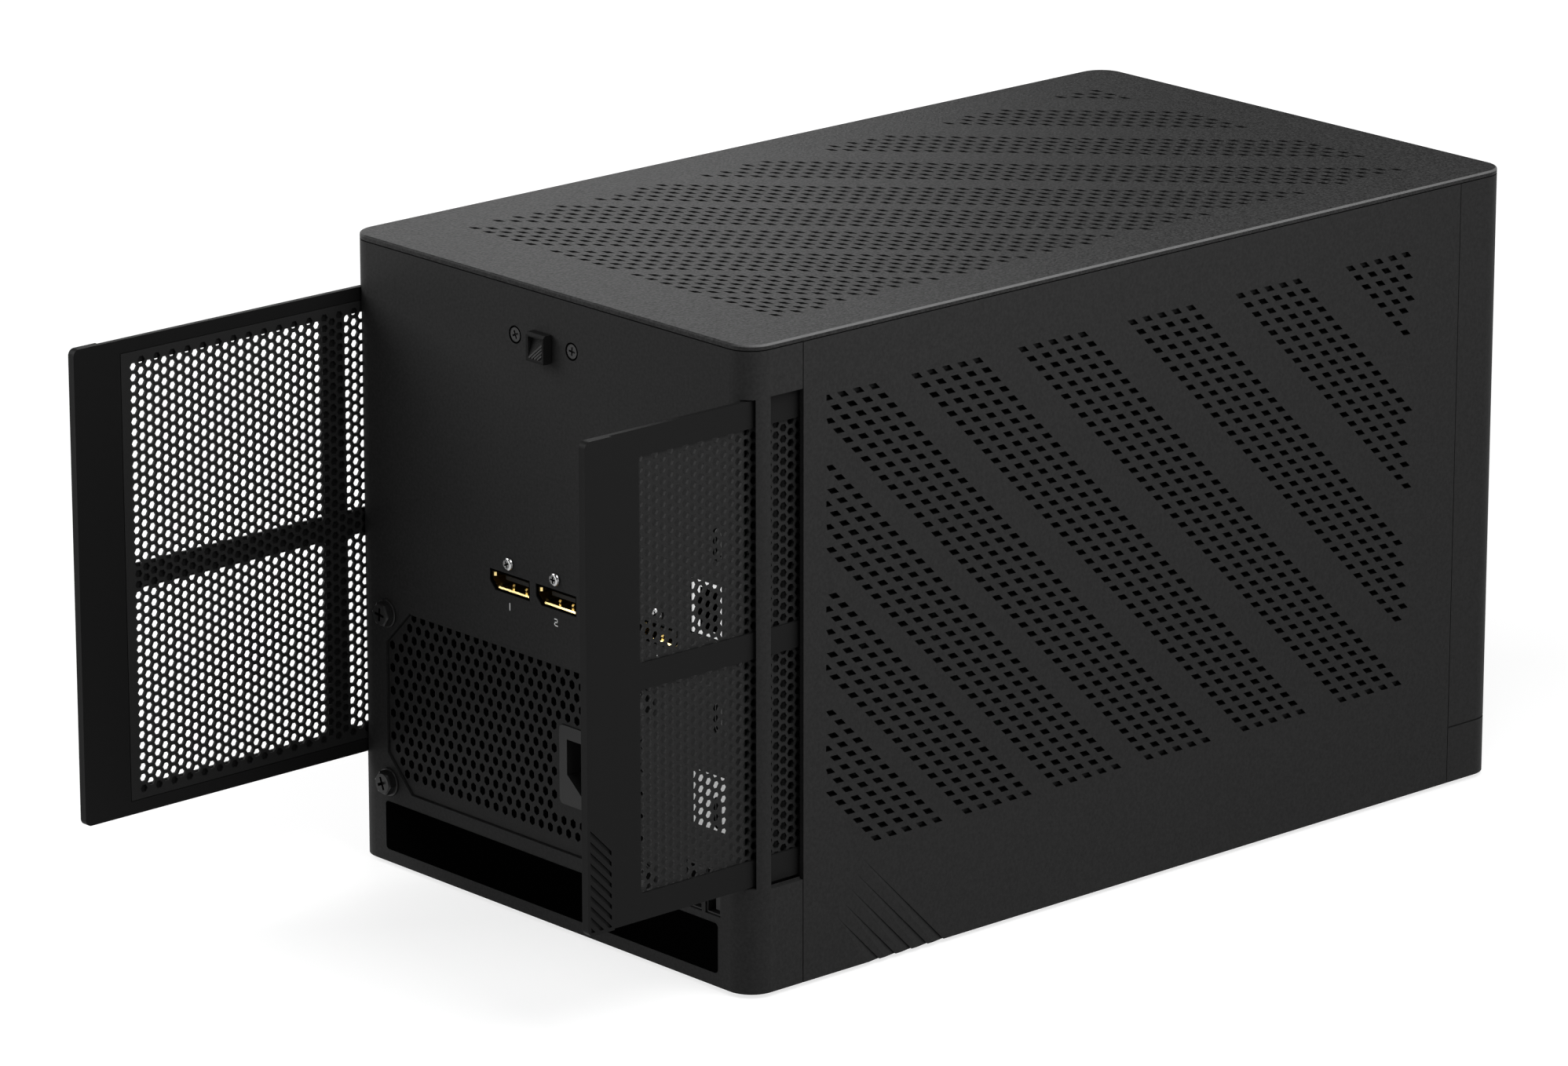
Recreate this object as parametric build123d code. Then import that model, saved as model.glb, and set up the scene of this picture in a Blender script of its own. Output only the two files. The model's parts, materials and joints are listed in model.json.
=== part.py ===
"""External graphics card enclosure with two dust filters that slide out of the rear.

Millimetres, +Z up. The connector side faces -Y, the origin is on the table under the middle of the body.
Right is +X. Both filters are drawn part way out, as they stand in use when they are being cleaned.
"""
import os
from math import sqrt

from build123d import *

# Body shell
body_length = 302.0
body_width = 172.0
body_height = 187.7
corner_radius = 8.0
skin = 1.5
top_edge_round = 1.0
cover_wrap = 20.2
seam_gap = 0.3
top_seam = 0.35
skirt_depth = 5.0
skirt_sheet = 1.2
skirt_gap = 0.3
fit_gap = 0.2
front_groove_height = 17.2
front_groove_width = 0.5
front_groove_depth = 0.4

# Feet and floor
foot_reach = 1.3
foot_radius = 8.0
foot_inset = 26.0
base_lift = 0.4
base_sheet = 1.2

# Inner chassis
chassis_sheet = 1.2
chassis_flange = 9.0
chassis_rim_rear = 25.0
chassis_rim_front = 38.0
shelf_sheet = 1.2
shelf_clearance = 1.35
shelf_bay_width = 24.0
shelf_bay_depth = 104.0
fan_plate_sheet = 1.2

# Filter trays and their channels
tray_sheet = 1.6
tray_lift = 31.4
tray_drop = 15.9
tray_corner = 2.0
tray_handle = 20.0
tray_end_border = 7.5
tray_side_border = 7.8
tray_cross_bar = 8.2
tray_long_bar = 7.6
tray_window_length = 69.4
tray_window_corner = 1.0
handle_pad = 9.5
handle_rise = 0.9
rib_count = 10
rib_below = 2
rib_pitch = 3.1
rib_width = 1.3
rib_depth = 0.6
rib_margin = 1.0
right_pull = 57.4
left_pull = 102.3
closed_inset = 6.0
mesh_sheet = 0.8
mesh_gap = 0.2
mesh_hole = 5.6
mesh_columns = 3
mesh_rows = 3
run_gap = 0.3
channel_outer = 0.7
channel_inner = 1.4
channel_floor = 2.4
channel_lip = 5.5
channel_stop = 2.0
slot_gap = 0.4
slot_lip = 1.2
return_window_near = 8.2
return_window_margin = 0.9

# Vents: diagonal bands, each drawn as dashes that lean with the band
side_band_width = 23.4
side_band_first = -53.7
side_band_gaps = (11.7, 12.4, 13.2, 16.1, 17.5, 19.7, 20.1, 22.1)
side_field_rear_rim = 28.6
side_field_front_rim = 40.0
side_field_low_rim = 3.8
side_field_high_rim = 2.1
top_band_width = 24.6
top_band_first = 174.7
top_band_gaps = (8.9, 10.5, 11.2, 12.3, 12.8, 17.2, 22.4, 24.6, 25.6)
top_field_side_rim = 19.0
top_field_rear_rim = 27.5
top_field_front_rim = 22.0
dash_width = 4.2
dash_pitch = 30.0
dash_web = 6.0
dash_shortest = 4.0

# Slanting steps at the lower rear corner of each side panel
step_count = 5
step_pitch = 6.2
step_first = -101.6
step_shortest = 17.0
step_growth = 4.2
step_depth = 0.6
step_width = 4.2

# Release slider
slider_rim_gap = 2.25
knob_width = 7.5
knob_tall = 8.3
knob_reach = 3.0
knob_wall = 0.7
knob_lip = 1.1
knob_recess = 2.0
neck_width = 5.2
neck_tall = 3.8
slider_travel = 3.3
slider_gap = 0.25
slide_plate_width = 16.0
slide_plate_tall = 13.0
slide_plate_sheet = 1.5
guide_width = 7.4
guide_bridge = 1.0
slider_screw_reach = 12.2
slider_screw_rise = 1.0
slider_screw_head = 2.4
slider_screw_radius = 1.3
slider_screw_sink = 1.1
slider_screw_length = 6.0

# Power supply, small form factor: 125 by 63.5 by 100 between the gaps below
psu_side_gap = 2.0
psu_port_gap = 26.6
psu_lift = 17.25
psu_depth = 100.0
psu_sheet = 1.0
psu_screw_inset = 6.0
psu_screw_radius = 1.65
psu_screw_flange = 4.2
psu_screw_hex = 6.4
psu_screw_head = 3.0
psu_screw_length = 7.0
screw_clear = 0.1
window_margin_x = 5.3
window_margin_z = 4.05
window_corner = 10.7
grille_hole = 4.6
grille_pitch = 10.5
grille_border = 8.0
grille_inlet_gap = 1.0
stand_inset = 9.0
stand_sheet = 1.2
psu_board_sheet = 1.6
psu_board_lift = 5.0
psu_board_inset = 4.0
psu_core = (34.0, 26.0)
psu_core_drop = 6.0
psu_can_radius = 9.0
psu_can_inset = 14.0
psu_can_pitch = 20.0
psu_can_gap = 6.0
outlet_side = 27.5
outlet_height = 22.0
outlet_reach = 5.0
outlet_flange = 3.0
outlet_flange_sheet = 1.5

# Mains inlet
inlet_inset = 27.5
inlet_drop = 1.4
inlet_flange = (31.0, 23.6)
inlet_flange_sheet = 1.2
inlet_flange_round = 1.5
inlet_body = (27.4, 19.6)
inlet_mouth = (24.4, 15.7)
inlet_corner = (6.2, 5.2)
inlet_depth = 16.0
inlet_back = 3.0
pin_pitch = 7.0
pin_rise = 0.6
earth_drop = 3.6
pin_width = 2.0
pin_height = 4.0
pin_length = 13.0

# Graphics card
socket_drop = 90.2
socket_pitch = 20.2
socket_count = 3
socket_width = 17.0
socket_height = 5.6
socket_corner = 2.4
socket_wall = 0.4
socket_depth = 17.0
socket_setback = 0.6
socket_clear = 0.25
wide_socket_inset = 26.2
wide_socket_pitch = 23.7
wide_socket_width = 15.4
wide_socket_corner = 1.8
tongue_sheet = 1.2
tongue_side = 2.6
tongue_setback = 3.0
socket_screw_rise = 6.2
socket_screw_radius = 1.4
socket_screw_head = 2.3
socket_screw_dome = 1.3
socket_screw_length = 5.0
bracket_sheet = 1.0
bracket_margin = 7.0
bracket_clear = 1.0
bracket_top = 12.0
bracket_bottom = 6.5
card_sheet = 1.6
card_side_gap = 27.0
card_port_gap = 12.6
card_length = 190.0
card_edge_reach = 8.0
card_post_radius = 3.0
card_post_length = 8.2
card_post_inset = 9.0
cold_plate_size = 64.0
cold_plate_height = 6.0
cold_plate_corner = 4.0
cold_plate_shift = 1.0
cold_plate_setback = 96.3
pump_radius = 29.0
pump_height = 20.0
pump_chamfer = 2.0
card_power_width = 22.0
card_power_height = 9.0
card_power_depth = 14.0
card_power_wall = 1.5
card_power_inset = 16.0

# Interface board and its sockets
interface_gap = 4.4
interface_sheet = 1.6
interface_lift = 13.1
interface_drop = 49.0
interface_depth = 104.0
board_post_radius = 2.6
board_post_inset = 9.0
slot_body_height = 11.0
slot_body_width = 7.6
slot_body_length = 89.0
slot_body_setback = 30.0
slot_groove_depth = 9.0
slot_wall = 1.0
port_clear = 0.25
port_setback = 0.5
network_drop = 29.3
network_width = 12.9
network_height = 15.6
network_depth = 21.0
network_mouth = (7.6, 12.0)
network_latch = (1.8, 6.2)
network_mouth_offset = 1.0
network_mouth_depth = 13.0
usb_c_drop = 9.6
usb_c_shift = 1.25
usb_c_rise = 36.6
usb_c_width = 3.2
usb_c_tall = 9.0
usb_c_wall = 0.35
usb_c_depth = 9.0
usb_c_tongue = (0.7, 6.6)
usb_c_mouth_depth = 6.5
usb_a_rise = 12.9
usb_a_tall = 13.2
usb_a_width = 5.8
usb_a_pitch = 7.8
usb_a_wall = 0.4
usb_a_side = 0.9
usb_a_depth = 18.0
usb_a_mouth_depth = 14.0
usb_a_tongue = (1.8, 11.0)
usb_tongue_gap = 1.0

# Cooling
fan_size = 120.0
fan_depth = 25.0
fan_rim = 3.0
fan_spacing = 0.4
fan_hole_inset = 7.5
fan_strut = 8.0
fan_strut_sheet = 3.0
fan_hub = 20.0
fan_blades = 7
fan_blade_pitch = 38.0
fan_blade_chord = 26.0
fan_blade_sheet = 1.4
fan_tip_gap = 1.5
fan_rotor_margin = 2.0
shaft_radius = 2.0
shaft_clear = 0.05
shaft_depth = 12.0
fan_screw_radius = 1.9
fan_screw_head = 3.4
fan_screw_sink = 1.1
fan_screw_length = 9.0
radiator_depth = 27.0
radiator_end_gap = 6.0
radiator_tank = 16.0
radiator_tubes = 11
radiator_tube = 2.4
radiator_rail = 4.0
hose_radius = 5.5
hose_spread = 13.0
fitting_radius = 6.8
fitting_length = 5.0
stub_rise = 1.0
psu_fan_radius = 39.0
psu_fan_depth = 15.0
psu_fan_hub = 14.0
psu_fan_chord = 17.0
psu_fan_guard = 2.4
psu_fan_y = 2.0
lead_radius = 4.2
lead_outlet_drop = 4.0

# Places that follow from the sizes above
half_length = body_length / 2
half_width = body_width / 2
inner_x = half_width - skin
inner_y = half_length - skin
rear_face = -half_length
rear_inside = -inner_y
body_top = foot_reach + body_height
top_under = body_top - skin
wall_top = top_under - top_seam
seam_y = half_length - cover_wrap
base_under = foot_reach + base_lift
base_top = base_under + base_sheet
groove = tray_sheet + 2 * run_gap
chassis_out = inner_x - channel_outer - groove - channel_inner
chassis_in = chassis_out - chassis_sheet
chassis_end = half_length - corner_radius
fan_plate_under = top_under - fan_plate_sheet
tray_bottom = foot_reach + tray_lift
tray_top = body_top - tray_drop
tray_height = tray_top - tray_bottom
tray_outer = inner_x - channel_outer - run_gap
tray_inner = tray_outer - tray_sheet
tray_length = (tray_handle + mesh_columns * tray_window_length + (mesh_columns - 1) * tray_cross_bar
               + tray_end_border)
tray_window_height = (tray_height - 2 * tray_side_border - tray_long_bar) / 2
closed_free_end = rear_face + closed_inset
channel_start = -seam_y + seam_gap
groove_end = closed_free_end + tray_length + run_gap
channel_end = groove_end + channel_stop
side_field_rear = rear_face + side_field_rear_rim
side_field_front = half_length - side_field_front_rim
side_field_low = tray_bottom + side_field_low_rim
side_field_high = tray_top - side_field_high_rim
top_field_half = half_width - top_field_side_rim
top_field_rear = rear_face + top_field_rear_rim
top_field_front = half_length - top_field_front_rim
slider_height = top_under - skirt_depth - slider_rim_gap - (slide_plate_tall + slider_travel) / 2
slider_screw_z = slider_height + slider_screw_rise
interface_face = chassis_in - interface_gap
interface_bottom = base_top + interface_lift
interface_top = body_top - interface_drop
socket_z = body_top - socket_drop
wide_socket_x = interface_face - wide_socket_inset
socket_places = tuple(wide_socket_x - wide_socket_pitch - (socket_count - 1 - i) * socket_pitch
                      for i in range(socket_count))
card_top = socket_z - socket_height / 2
card_under = card_top - card_sheet
card_left = -chassis_in + card_side_gap
card_right = interface_face - card_port_gap
card_rear = rear_inside + bracket_sheet + fit_gap
card_front = card_rear + card_length
card_power_x = card_left + card_power_inset
shelf_top = card_under - card_post_length
shelf_under = shelf_top - shelf_sheet
psu_top = shelf_under - shelf_clearance
psu_bottom = base_top + psu_lift
psu_height = psu_top - psu_bottom
psu_z = (psu_top + psu_bottom) / 2
psu_front = rear_inside + psu_depth
psu_left = -chassis_in + psu_side_gap
psu_right = interface_face - psu_port_gap
psu_width = psu_right - psu_left
psu_x = (psu_left + psu_right) / 2
inlet_x = psu_right - inlet_inset
inlet_z = psu_z - inlet_drop
outlet_width = psu_width - 2 * outlet_side
bracket_left = socket_places[0] - socket_width / 2 - bracket_margin
bracket_right = interface_face - network_width - bracket_clear
socket_mouth = rear_face + socket_setback
port_mouth = rear_face + port_setback
cold_plate_x = (card_left + card_right) / 2 - cold_plate_shift
cold_plate_y = card_rear + cold_plate_setback
cold_plate_top = card_top + cold_plate_height
pump_top = cold_plate_top + pump_height
stub_z = cold_plate_top + hose_radius + stub_rise
fan_under = fan_plate_under - fan_depth
radiator_under = fan_under - radiator_depth
hose_bend = radiator_under - fitting_length - stub_z
fan_bore = fan_size / 2 - fan_rim
radiator_length = 2 * (chassis_end - radiator_end_gap)
fan_centres = tuple(side * (fan_size + fan_spacing) / 2 for side in (-1, 1))
fan_hole = fan_size / 2 - fan_hole_inset
psu_screw_places = tuple((x, z) for x in (psu_left + psu_screw_inset, psu_right - psu_screw_inset)
                         for z in (psu_bottom + psu_screw_inset, psu_top - psu_screw_inset))
usb_a_places = tuple(interface_face - usb_a_width / 2 - usb_a_side - i * usb_a_pitch for i in range(2))
usb_a_z = interface_bottom + usb_a_rise
usb_c_x = interface_face - usb_c_width / 2
network_x = interface_face - network_width / 2
network_z = interface_top - network_drop
usb_c_low = interface_bottom + usb_c_rise
usb_c_heights = (interface_top - usb_c_drop, (network_z + usb_c_low) / 2 - usb_c_shift, usb_c_low)


# Building helpers

def about(centre, size):
    """Low and high end of a stretch with this middle and this length."""
    return (centre - size / 2, centre + size / 2)


def block(x, y, z):
    """Box between three pairs of limits."""
    return Pos(sum(x) / 2, sum(y) / 2, sum(z) / 2) * Box(x[1] - x[0], y[1] - y[0], z[1] - z[0])


def pane(a, b):
    """Flat rectangle between two pairs of limits."""
    return Pos(sum(a) / 2, sum(b) / 2) * Rectangle(a[1] - a[0], b[1] - b[0])


def slab_x(face, x):
    """Face drawn in (Y, Z), given thickness along X."""
    return extrude(Plane.YZ.offset(x[0]) * face, amount=x[1] - x[0])


def slab_y(face, y):
    """Face drawn in (X, Z), given thickness along Y."""
    return extrude(Plane.XZ.offset(-y[1]) * face, amount=y[1] - y[0])


def slab_z(face, z):
    """Face drawn in (X, Y), given thickness along Z."""
    return extrude(Plane.XY.offset(z[0]) * face, amount=z[1] - z[0])


def rod_x(radius, y, z, x):
    return slab_x(Pos(y, z) * Circle(radius), x)


def rod_y(radius, x, z, y):
    return slab_y(Pos(x, z) * Circle(radius), y)


def rod_z(radius, x, y, z):
    return slab_z(Pos(x, y) * Circle(radius), z)


def other_side(part):
    """The same piece on the left of the body."""
    return mirror(part, about=Plane.YZ)


def chamfered(width, height, corners, cut):
    """Rectangle with straight cuts of (across, up) at the named corners; (-1, -1) is the lower left."""
    shape = Rectangle(width, height)
    for sx, sz in corners:
        tip = (sx * width / 2, sz * height / 2)
        along = (tip[0] - sx * cut[0], tip[1])
        upright = (tip[0], tip[1] - sz * cut[1])
        shape -= make_face(Polyline(tip, along, upright, close=True))
    return shape


# Vents

def leaning_dash(across, along, lean):
    """Parallelogram with level ends whose sides lean across by one for each one along."""
    slide = lean * along / 2
    foot = [(side * across / 2 - slide, -along / 2) for side in (-1, 1)]
    head = [(side * across / 2 + slide, along / 2) for side in (1, -1)]
    return make_face(Polyline(*foot, *head, close=True))


def dashes(column, lean, low, high):
    """One slanting column of a band, split into equal dashes; column is where it crosses zero height."""
    count = max(1, round((high - low) / dash_pitch))
    step = (high - low) / count
    length = max(step - dash_web, dash_shortest)
    for i in range(count if high - low > dash_shortest else 0):
        height = low + (i + 0.5) * step
        yield Pos(column + lean * height, height) * leaning_dash(dash_width, length, lean)


def band_centres(first, gaps, width, direction):
    """Middles of the bands, from the first one and the plain gaps between neighbours."""
    centres = [first]
    for gap in gaps:
        centres.append(centres[-1] + direction * (width + gap))
    return centres


def band_columns(centre, width):
    """Three dash columns that fill a band."""
    return [centre + i * (width - dash_width) / 2 for i in (-1, 0, 1)]


def side_vents():
    """Bands that run down towards the front: Y + Z is constant along each column."""
    cuts = []
    for centre in band_centres(side_band_first, side_band_gaps, side_band_width, 1):
        for column in band_columns(centre, side_band_width):
            low = max(side_field_low, column - side_field_front)
            high = min(side_field_high, column - side_field_rear)
            cuts += dashes(column, -1, low, high)
    return cuts


def top_vents():
    """Bands that run towards the front right: X - Y is constant along each column."""
    cuts = []
    for centre in band_centres(top_band_first, top_band_gaps, top_band_width, -1):
        for column in band_columns(centre, top_band_width):
            low = max(top_field_rear, -top_field_half - column)
            high = min(top_field_front, top_field_half - column)
            cuts += dashes(column, 1, low, high)
    return cuts


# Shell

def outline(inset):
    """Plan of the body, drawn in by inset all round."""
    return RectangleRounded(body_width - 2 * inset, body_length - 2 * inset, corner_radius - inset)


def top_cover():
    plate = slab_z(outline(0), (top_under, body_top))
    plate = fillet(plate.faces().sort_by(Axis.Z)[-1].edges(), top_edge_round)
    return plate - slab_z(Sketch() + top_vents(), (top_under, body_top))


def top_rim():
    """Upright strip under the top cover that centres it inside the walls."""
    strip = outline(skin + skirt_gap) - outline(skin + skirt_gap + skirt_sheet)
    return slab_z(strip, (top_under - skirt_depth, top_under))


def corner_shell(front):
    """U-shaped cover round two corners of the body, from the seams to one end."""
    y = (seam_y + seam_gap / 2, half_length)
    plan = (outline(0) - outline(skin)) & pane((-half_width, half_width), y if front else (-y[1], -y[0]))
    return slab_z(plan, (foot_reach, wall_top))


def front_cover():
    z = foot_reach + front_groove_height
    line = outline(0) - outline(front_groove_depth)
    return corner_shell(True) - slab_z(line, (z, z + front_groove_width))


def psu_window():
    """Opening in the rear wall over the supply, with its four corners cut off."""
    size = (psu_width - 2 * window_margin_x, psu_height - 2 * window_margin_z)
    corners = [(sx, sz) for sx in (-1, 1) for sz in (-1, 1)]
    return Pos(psu_x, psu_z) * chamfered(*size, corners, (window_corner, window_corner))


def socket_outline(width, grow):
    """Video socket mouth with one lower corner cut off."""
    cut = (socket_corner, socket_corner)
    return chamfered(width + 2 * grow, socket_height + 2 * grow, [(-1, -1)], cut)


def wide_outline(grow):
    """Wide video socket mouth with both lower corners cut off."""
    return chamfered(wide_socket_width + 2 * grow, socket_height + 2 * grow, [(-1, -1), (1, -1)],
                     (wide_socket_corner, wide_socket_corner))


def video_mouths(grow):
    mouths = [Pos(x, socket_z) * socket_outline(socket_width, grow) for x in socket_places]
    return mouths + [Pos(wide_socket_x, socket_z) * wide_outline(grow)]


def usb_c_outline(z, grow):
    return Pos(usb_c_x, z) * SlotOverall(usb_c_tall + 2 * grow, usb_c_width + 2 * grow, rotation=90)


def port_mouths():
    """Cut-outs for the column of sockets on the interface board."""
    mouths = [usb_c_outline(z, port_clear) for z in usb_c_heights]
    network = Rectangle(network_width + 2 * port_clear, network_height + 2 * port_clear)
    usb_a = Rectangle(usb_a_width + 2 * port_clear, usb_a_tall + 2 * port_clear)
    mouths.append(Pos(network_x, network_z) * network)
    return mouths + [Pos(x, usb_a_z) * usb_a for x in usb_a_places]


def socket_screw_places():
    return [(x, socket_z + socket_screw_rise) for x in socket_places + (wide_socket_x,)]


def slider_slot():
    low = neck_low() - slider_gap
    high = neck_low() + neck_tall + slider_travel + slider_gap
    return pane(about(0, neck_width + 2 * slider_gap), (low, high))


def neck_low():
    """Underside of the slider's neck at rest, so that the knob hides the slot at rest."""
    return slider_height - (neck_tall + slider_travel) / 2


def sunk_hole(x, z):
    """Countersunk screw hole through the rear wall."""
    cone = Cone(slider_screw_radius, slider_screw_head, slider_screw_sink)
    hole = rod_y(slider_screw_radius, x, z, (rear_face, rear_inside))
    return hole + Pos(x, rear_face + slider_screw_sink / 2, z) * Rot(90, 0, 0) * cone


def rear_cover():
    shell = corner_shell(False)
    mouths = [psu_window(), slider_slot()] + video_mouths(socket_clear) + port_mouths()
    mouths += [Pos(x, z) * Circle(psu_screw_radius + screw_clear) for x, z in psu_screw_places]
    mouths += [Pos(x, z) * Circle(socket_screw_radius + screw_clear) for x, z in socket_screw_places()]
    shell -= slab_y(Sketch() + mouths, (rear_face, rear_inside))
    shell -= [sunk_hole(side * slider_screw_reach, slider_screw_z) for side in (-1, 1)]
    slot_z = (tray_bottom - slot_gap, tray_top + slot_gap)
    slot_x = (tray_inner - slot_gap, half_width - slot_lip)
    window_z = (tray_bottom - return_window_margin, tray_top + return_window_margin)
    window_y = (rear_face + return_window_near, -seam_y)
    tray_way = block(slot_x, (rear_face, -seam_y), slot_z)
    tray_way += block((slot_x[1], half_width), window_y, window_z)
    return shell - [tray_way, other_side(tray_way)]


def panel_steps():
    """Slanting steps that deepen to the lower edge, each a wedge that thins out upwards."""
    cuts = []
    for i in range(step_count):
        length = step_shortest + i * step_growth
        foot = step_first + i * step_pitch
        mouth = make_face(Polyline((0, 0), (0, -step_depth), (-step_width, 0), close=True))
        tip = Vertex(half_width, foot - length, foot_reach + length)
        face = Plane((half_width, foot, foot_reach), x_dir=(0, 1, 0), z_dir=(0, 0, -1)) * mouth
        cuts.append(loft([face.face(), tip]))
    return cuts


def right_side_panel():
    y = (-seam_y + seam_gap / 2, seam_y - seam_gap / 2)
    sheet = pane(y, (foot_reach, wall_top)) - side_vents()
    return slab_x(sheet, (inner_x, half_width)) - panel_steps()


# Chassis

def base_plate():
    return slab_z(outline(skin + fit_gap), (base_under, base_top))


def rubber_feet():
    x = half_width - foot_inset
    y = half_length - foot_inset
    return [rod_z(foot_radius, sx * x, sy * y, (0, base_under)) for sx in (-1, 1) for sy in (-1, 1)]


def right_chassis_wall():
    y = (-chassis_end, chassis_end)
    z = (base_top, fan_plate_under)
    hole_y = (-chassis_end + chassis_rim_rear, chassis_end - chassis_rim_front)
    hole_z = (tray_bottom + channel_lip + run_gap, tray_top - channel_lip - run_gap)
    wall = slab_x(pane(y, z) - pane(hole_y, hole_z), (chassis_in, chassis_out))
    flange_x = (chassis_in - chassis_flange, chassis_in)
    wall += block(flange_x, y, (z[0], z[0] + chassis_sheet))
    return wall + block(flange_x, y, (z[1] - chassis_sheet, z[1]))


def mid_shelf():
    sheet = pane((-chassis_in, chassis_in), (-chassis_end, chassis_end))
    bay = pane((chassis_in - shelf_bay_width, chassis_in), (-chassis_end, -chassis_end + shelf_bay_depth))
    lead = pane(about(card_power_x, 5 * lead_radius), (card_front, chassis_end - chassis_rim_front))
    return slab_z(sheet - bay - lead, (shelf_under, shelf_top))


def fan_plate():
    sheet = pane((-chassis_out, chassis_out), (-chassis_end, chassis_end))
    cuts = [Pos(0, y) * Circle(fan_bore) for y in fan_centres]
    cuts += [Pos(x, y) * Circle(fan_screw_radius + screw_clear) for x, y in fan_screw_places()]
    plate = slab_z(sheet - cuts, (fan_plate_under, top_under))
    return plate - [fan_screw_sink_cone(x, y) for x, y in fan_screw_places()]


# Dust filters

def filter_frame(pull):
    """Moulded frame: padded handle at the free end, two rows of windows, a pocket for the mesh."""
    free = rear_face - pull
    far = free + tray_length
    face = pane((free, far), (tray_bottom, tray_top))
    face = fillet(face.vertices(), tray_corner)
    frame = slab_x(face, (tray_inner, tray_outer))
    pad = face & pane((free, free + handle_pad), (tray_bottom, tray_top))
    pad_top = tray_outer + handle_rise
    frame += slab_x(pad, (tray_outer, pad_top))
    pocket_y, pocket_z = mesh_seat(free)
    frame -= block((tray_inner, tray_inner + mesh_sheet), pocket_y, pocket_z)
    frame -= slab_x(Sketch() + tray_windows(free), (tray_inner, tray_outer))
    return frame - slab_x(handle_ribs(free), (pad_top - rib_depth, pad_top))


def tray_windows(free):
    windows = []
    window = RectangleRounded(tray_window_length, tray_window_height, tray_window_corner)
    for i in range(mesh_columns):
        y = free + tray_handle + (i + 0.5) * tray_window_length + i * tray_cross_bar
        for side in (-1, 1):
            z = tray_bottom + tray_height / 2 + side * (tray_long_bar + tray_window_height) / 2
            windows.append(Pos(y, z) * window)
    return windows


def mesh_seat(free):
    """Limits of the pocket in the back of the frame, half a border wider than the windows."""
    y = (free + tray_handle - tray_end_border / 2, free + tray_length - tray_end_border / 2)
    z = (tray_bottom + tray_side_border / 2, tray_top - tray_side_border / 2)
    return y, z


def handle_ribs(free):
    """Slanting grip grooves on the pad, from its foot upwards; the lowest ones cross its lower corner."""
    pad = pane((free + rib_margin, free + handle_pad - rib_margin), (tray_bottom + rib_margin, tray_top))
    across = handle_pad - 2 * rib_margin
    far = free + across + rib_margin
    grooves = []
    for i in range(rib_count):
        z = tray_bottom + rib_margin + (i - rib_below) * rib_pitch
        lower = [(free, z + across), (far, z - rib_margin)]
        upper = [(far, z + rib_width - rib_margin), (free, z + across + rib_width)]
        grooves.append(make_face(Polyline(*lower, *upper, close=True)))
    return (Sketch() + grooves) & pad


def filter_mesh(pull):
    """Thin sheet in the frame's pocket, with open cells behind each window."""
    free = rear_face - pull
    y, z = mesh_seat(free)
    sheet = pane((y[0] + mesh_gap, y[1] - mesh_gap), (z[0] + mesh_gap, z[1] - mesh_gap))
    cells = []
    for window in tray_windows(free):
        centre = window.center()
        for i in range(mesh_columns):
            for j in range(mesh_rows):
                y_cell = centre.X + (i - (mesh_columns - 1) / 2) * tray_window_length / mesh_columns
                z_cell = centre.Y + (j - (mesh_rows - 1) / 2) * tray_window_height / mesh_rows
                cells.append(Pos(y_cell, z_cell) * RegularPolygon(mesh_hole, 6))
    return slab_x(sheet - cells, (tray_inner, tray_inner + mesh_sheet))


def lower_channel():
    """U-shaped runner between chassis wall and side panel, with a stop at its inner end."""
    z = (tray_bottom - run_gap - channel_floor, tray_bottom + channel_lip)
    body = block((chassis_out, inner_x), (channel_start, channel_end), z)
    way = block((tray_inner - run_gap, tray_outer + run_gap), (channel_start, groove_end),
                (tray_bottom - run_gap, z[1]))
    return body - way


def upper_channel():
    middle = Plane((0, 0, tray_bottom + tray_height / 2), x_dir=(1, 0, 0), z_dir=(0, 0, 1))
    return mirror(lower_channel(), about=middle)


# Release slider

def release_slider():
    """Knob outside, neck through the wall and plate inside; the knob has a ramped finger recess."""
    back = rear_face - slider_gap
    front = back - knob_reach
    z = about(slider_height, knob_tall)
    knob = block(about(0, knob_width), (front, back), z)
    knob = chamfer(knob.faces().sort_by(Axis.Y)[0].edges().sort_by(Axis.Z)[-1:], knob_wall)
    ramp = make_face(Polyline((front, z[0] + knob_wall), (front, z[1] - knob_lip),
                              (front + knob_recess, z[1] - knob_lip), close=True))
    knob -= slab_x(ramp, about(0, knob_width - 2 * knob_wall))
    neck_z = (neck_low(), neck_low() + neck_tall)
    inside = rear_inside + slider_gap
    neck = block(about(0, neck_width), (back, inside), neck_z)
    plate = block(about(0, slide_plate_width), (inside, inside + slide_plate_sheet),
                  about(sum(neck_z) / 2, slide_plate_tall))
    return knob + neck + plate


def slider_bracket():
    """Two guides beside the slide plate and a bridge behind it, screwed to the rear wall."""
    deep = 2 * slider_gap + slide_plate_sheet
    z = (neck_low() + neck_tall / 2 - slide_plate_tall / 2,
         neck_low() + neck_tall / 2 + slide_plate_tall / 2 + slider_travel)
    reach = slide_plate_width / 2 + slider_gap + guide_width
    body = block((-reach, reach), (rear_inside, rear_inside + deep + guide_bridge), z)
    body -= block(about(0, slide_plate_width + 2 * slider_gap), (rear_inside, rear_inside + deep), z)
    screw_way = (rear_inside, rear_inside + deep + guide_bridge)
    return body - [rod_y(slider_screw_radius, side * slider_screw_reach, slider_screw_z, screw_way)
                   for side in (-1, 1)]


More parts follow.
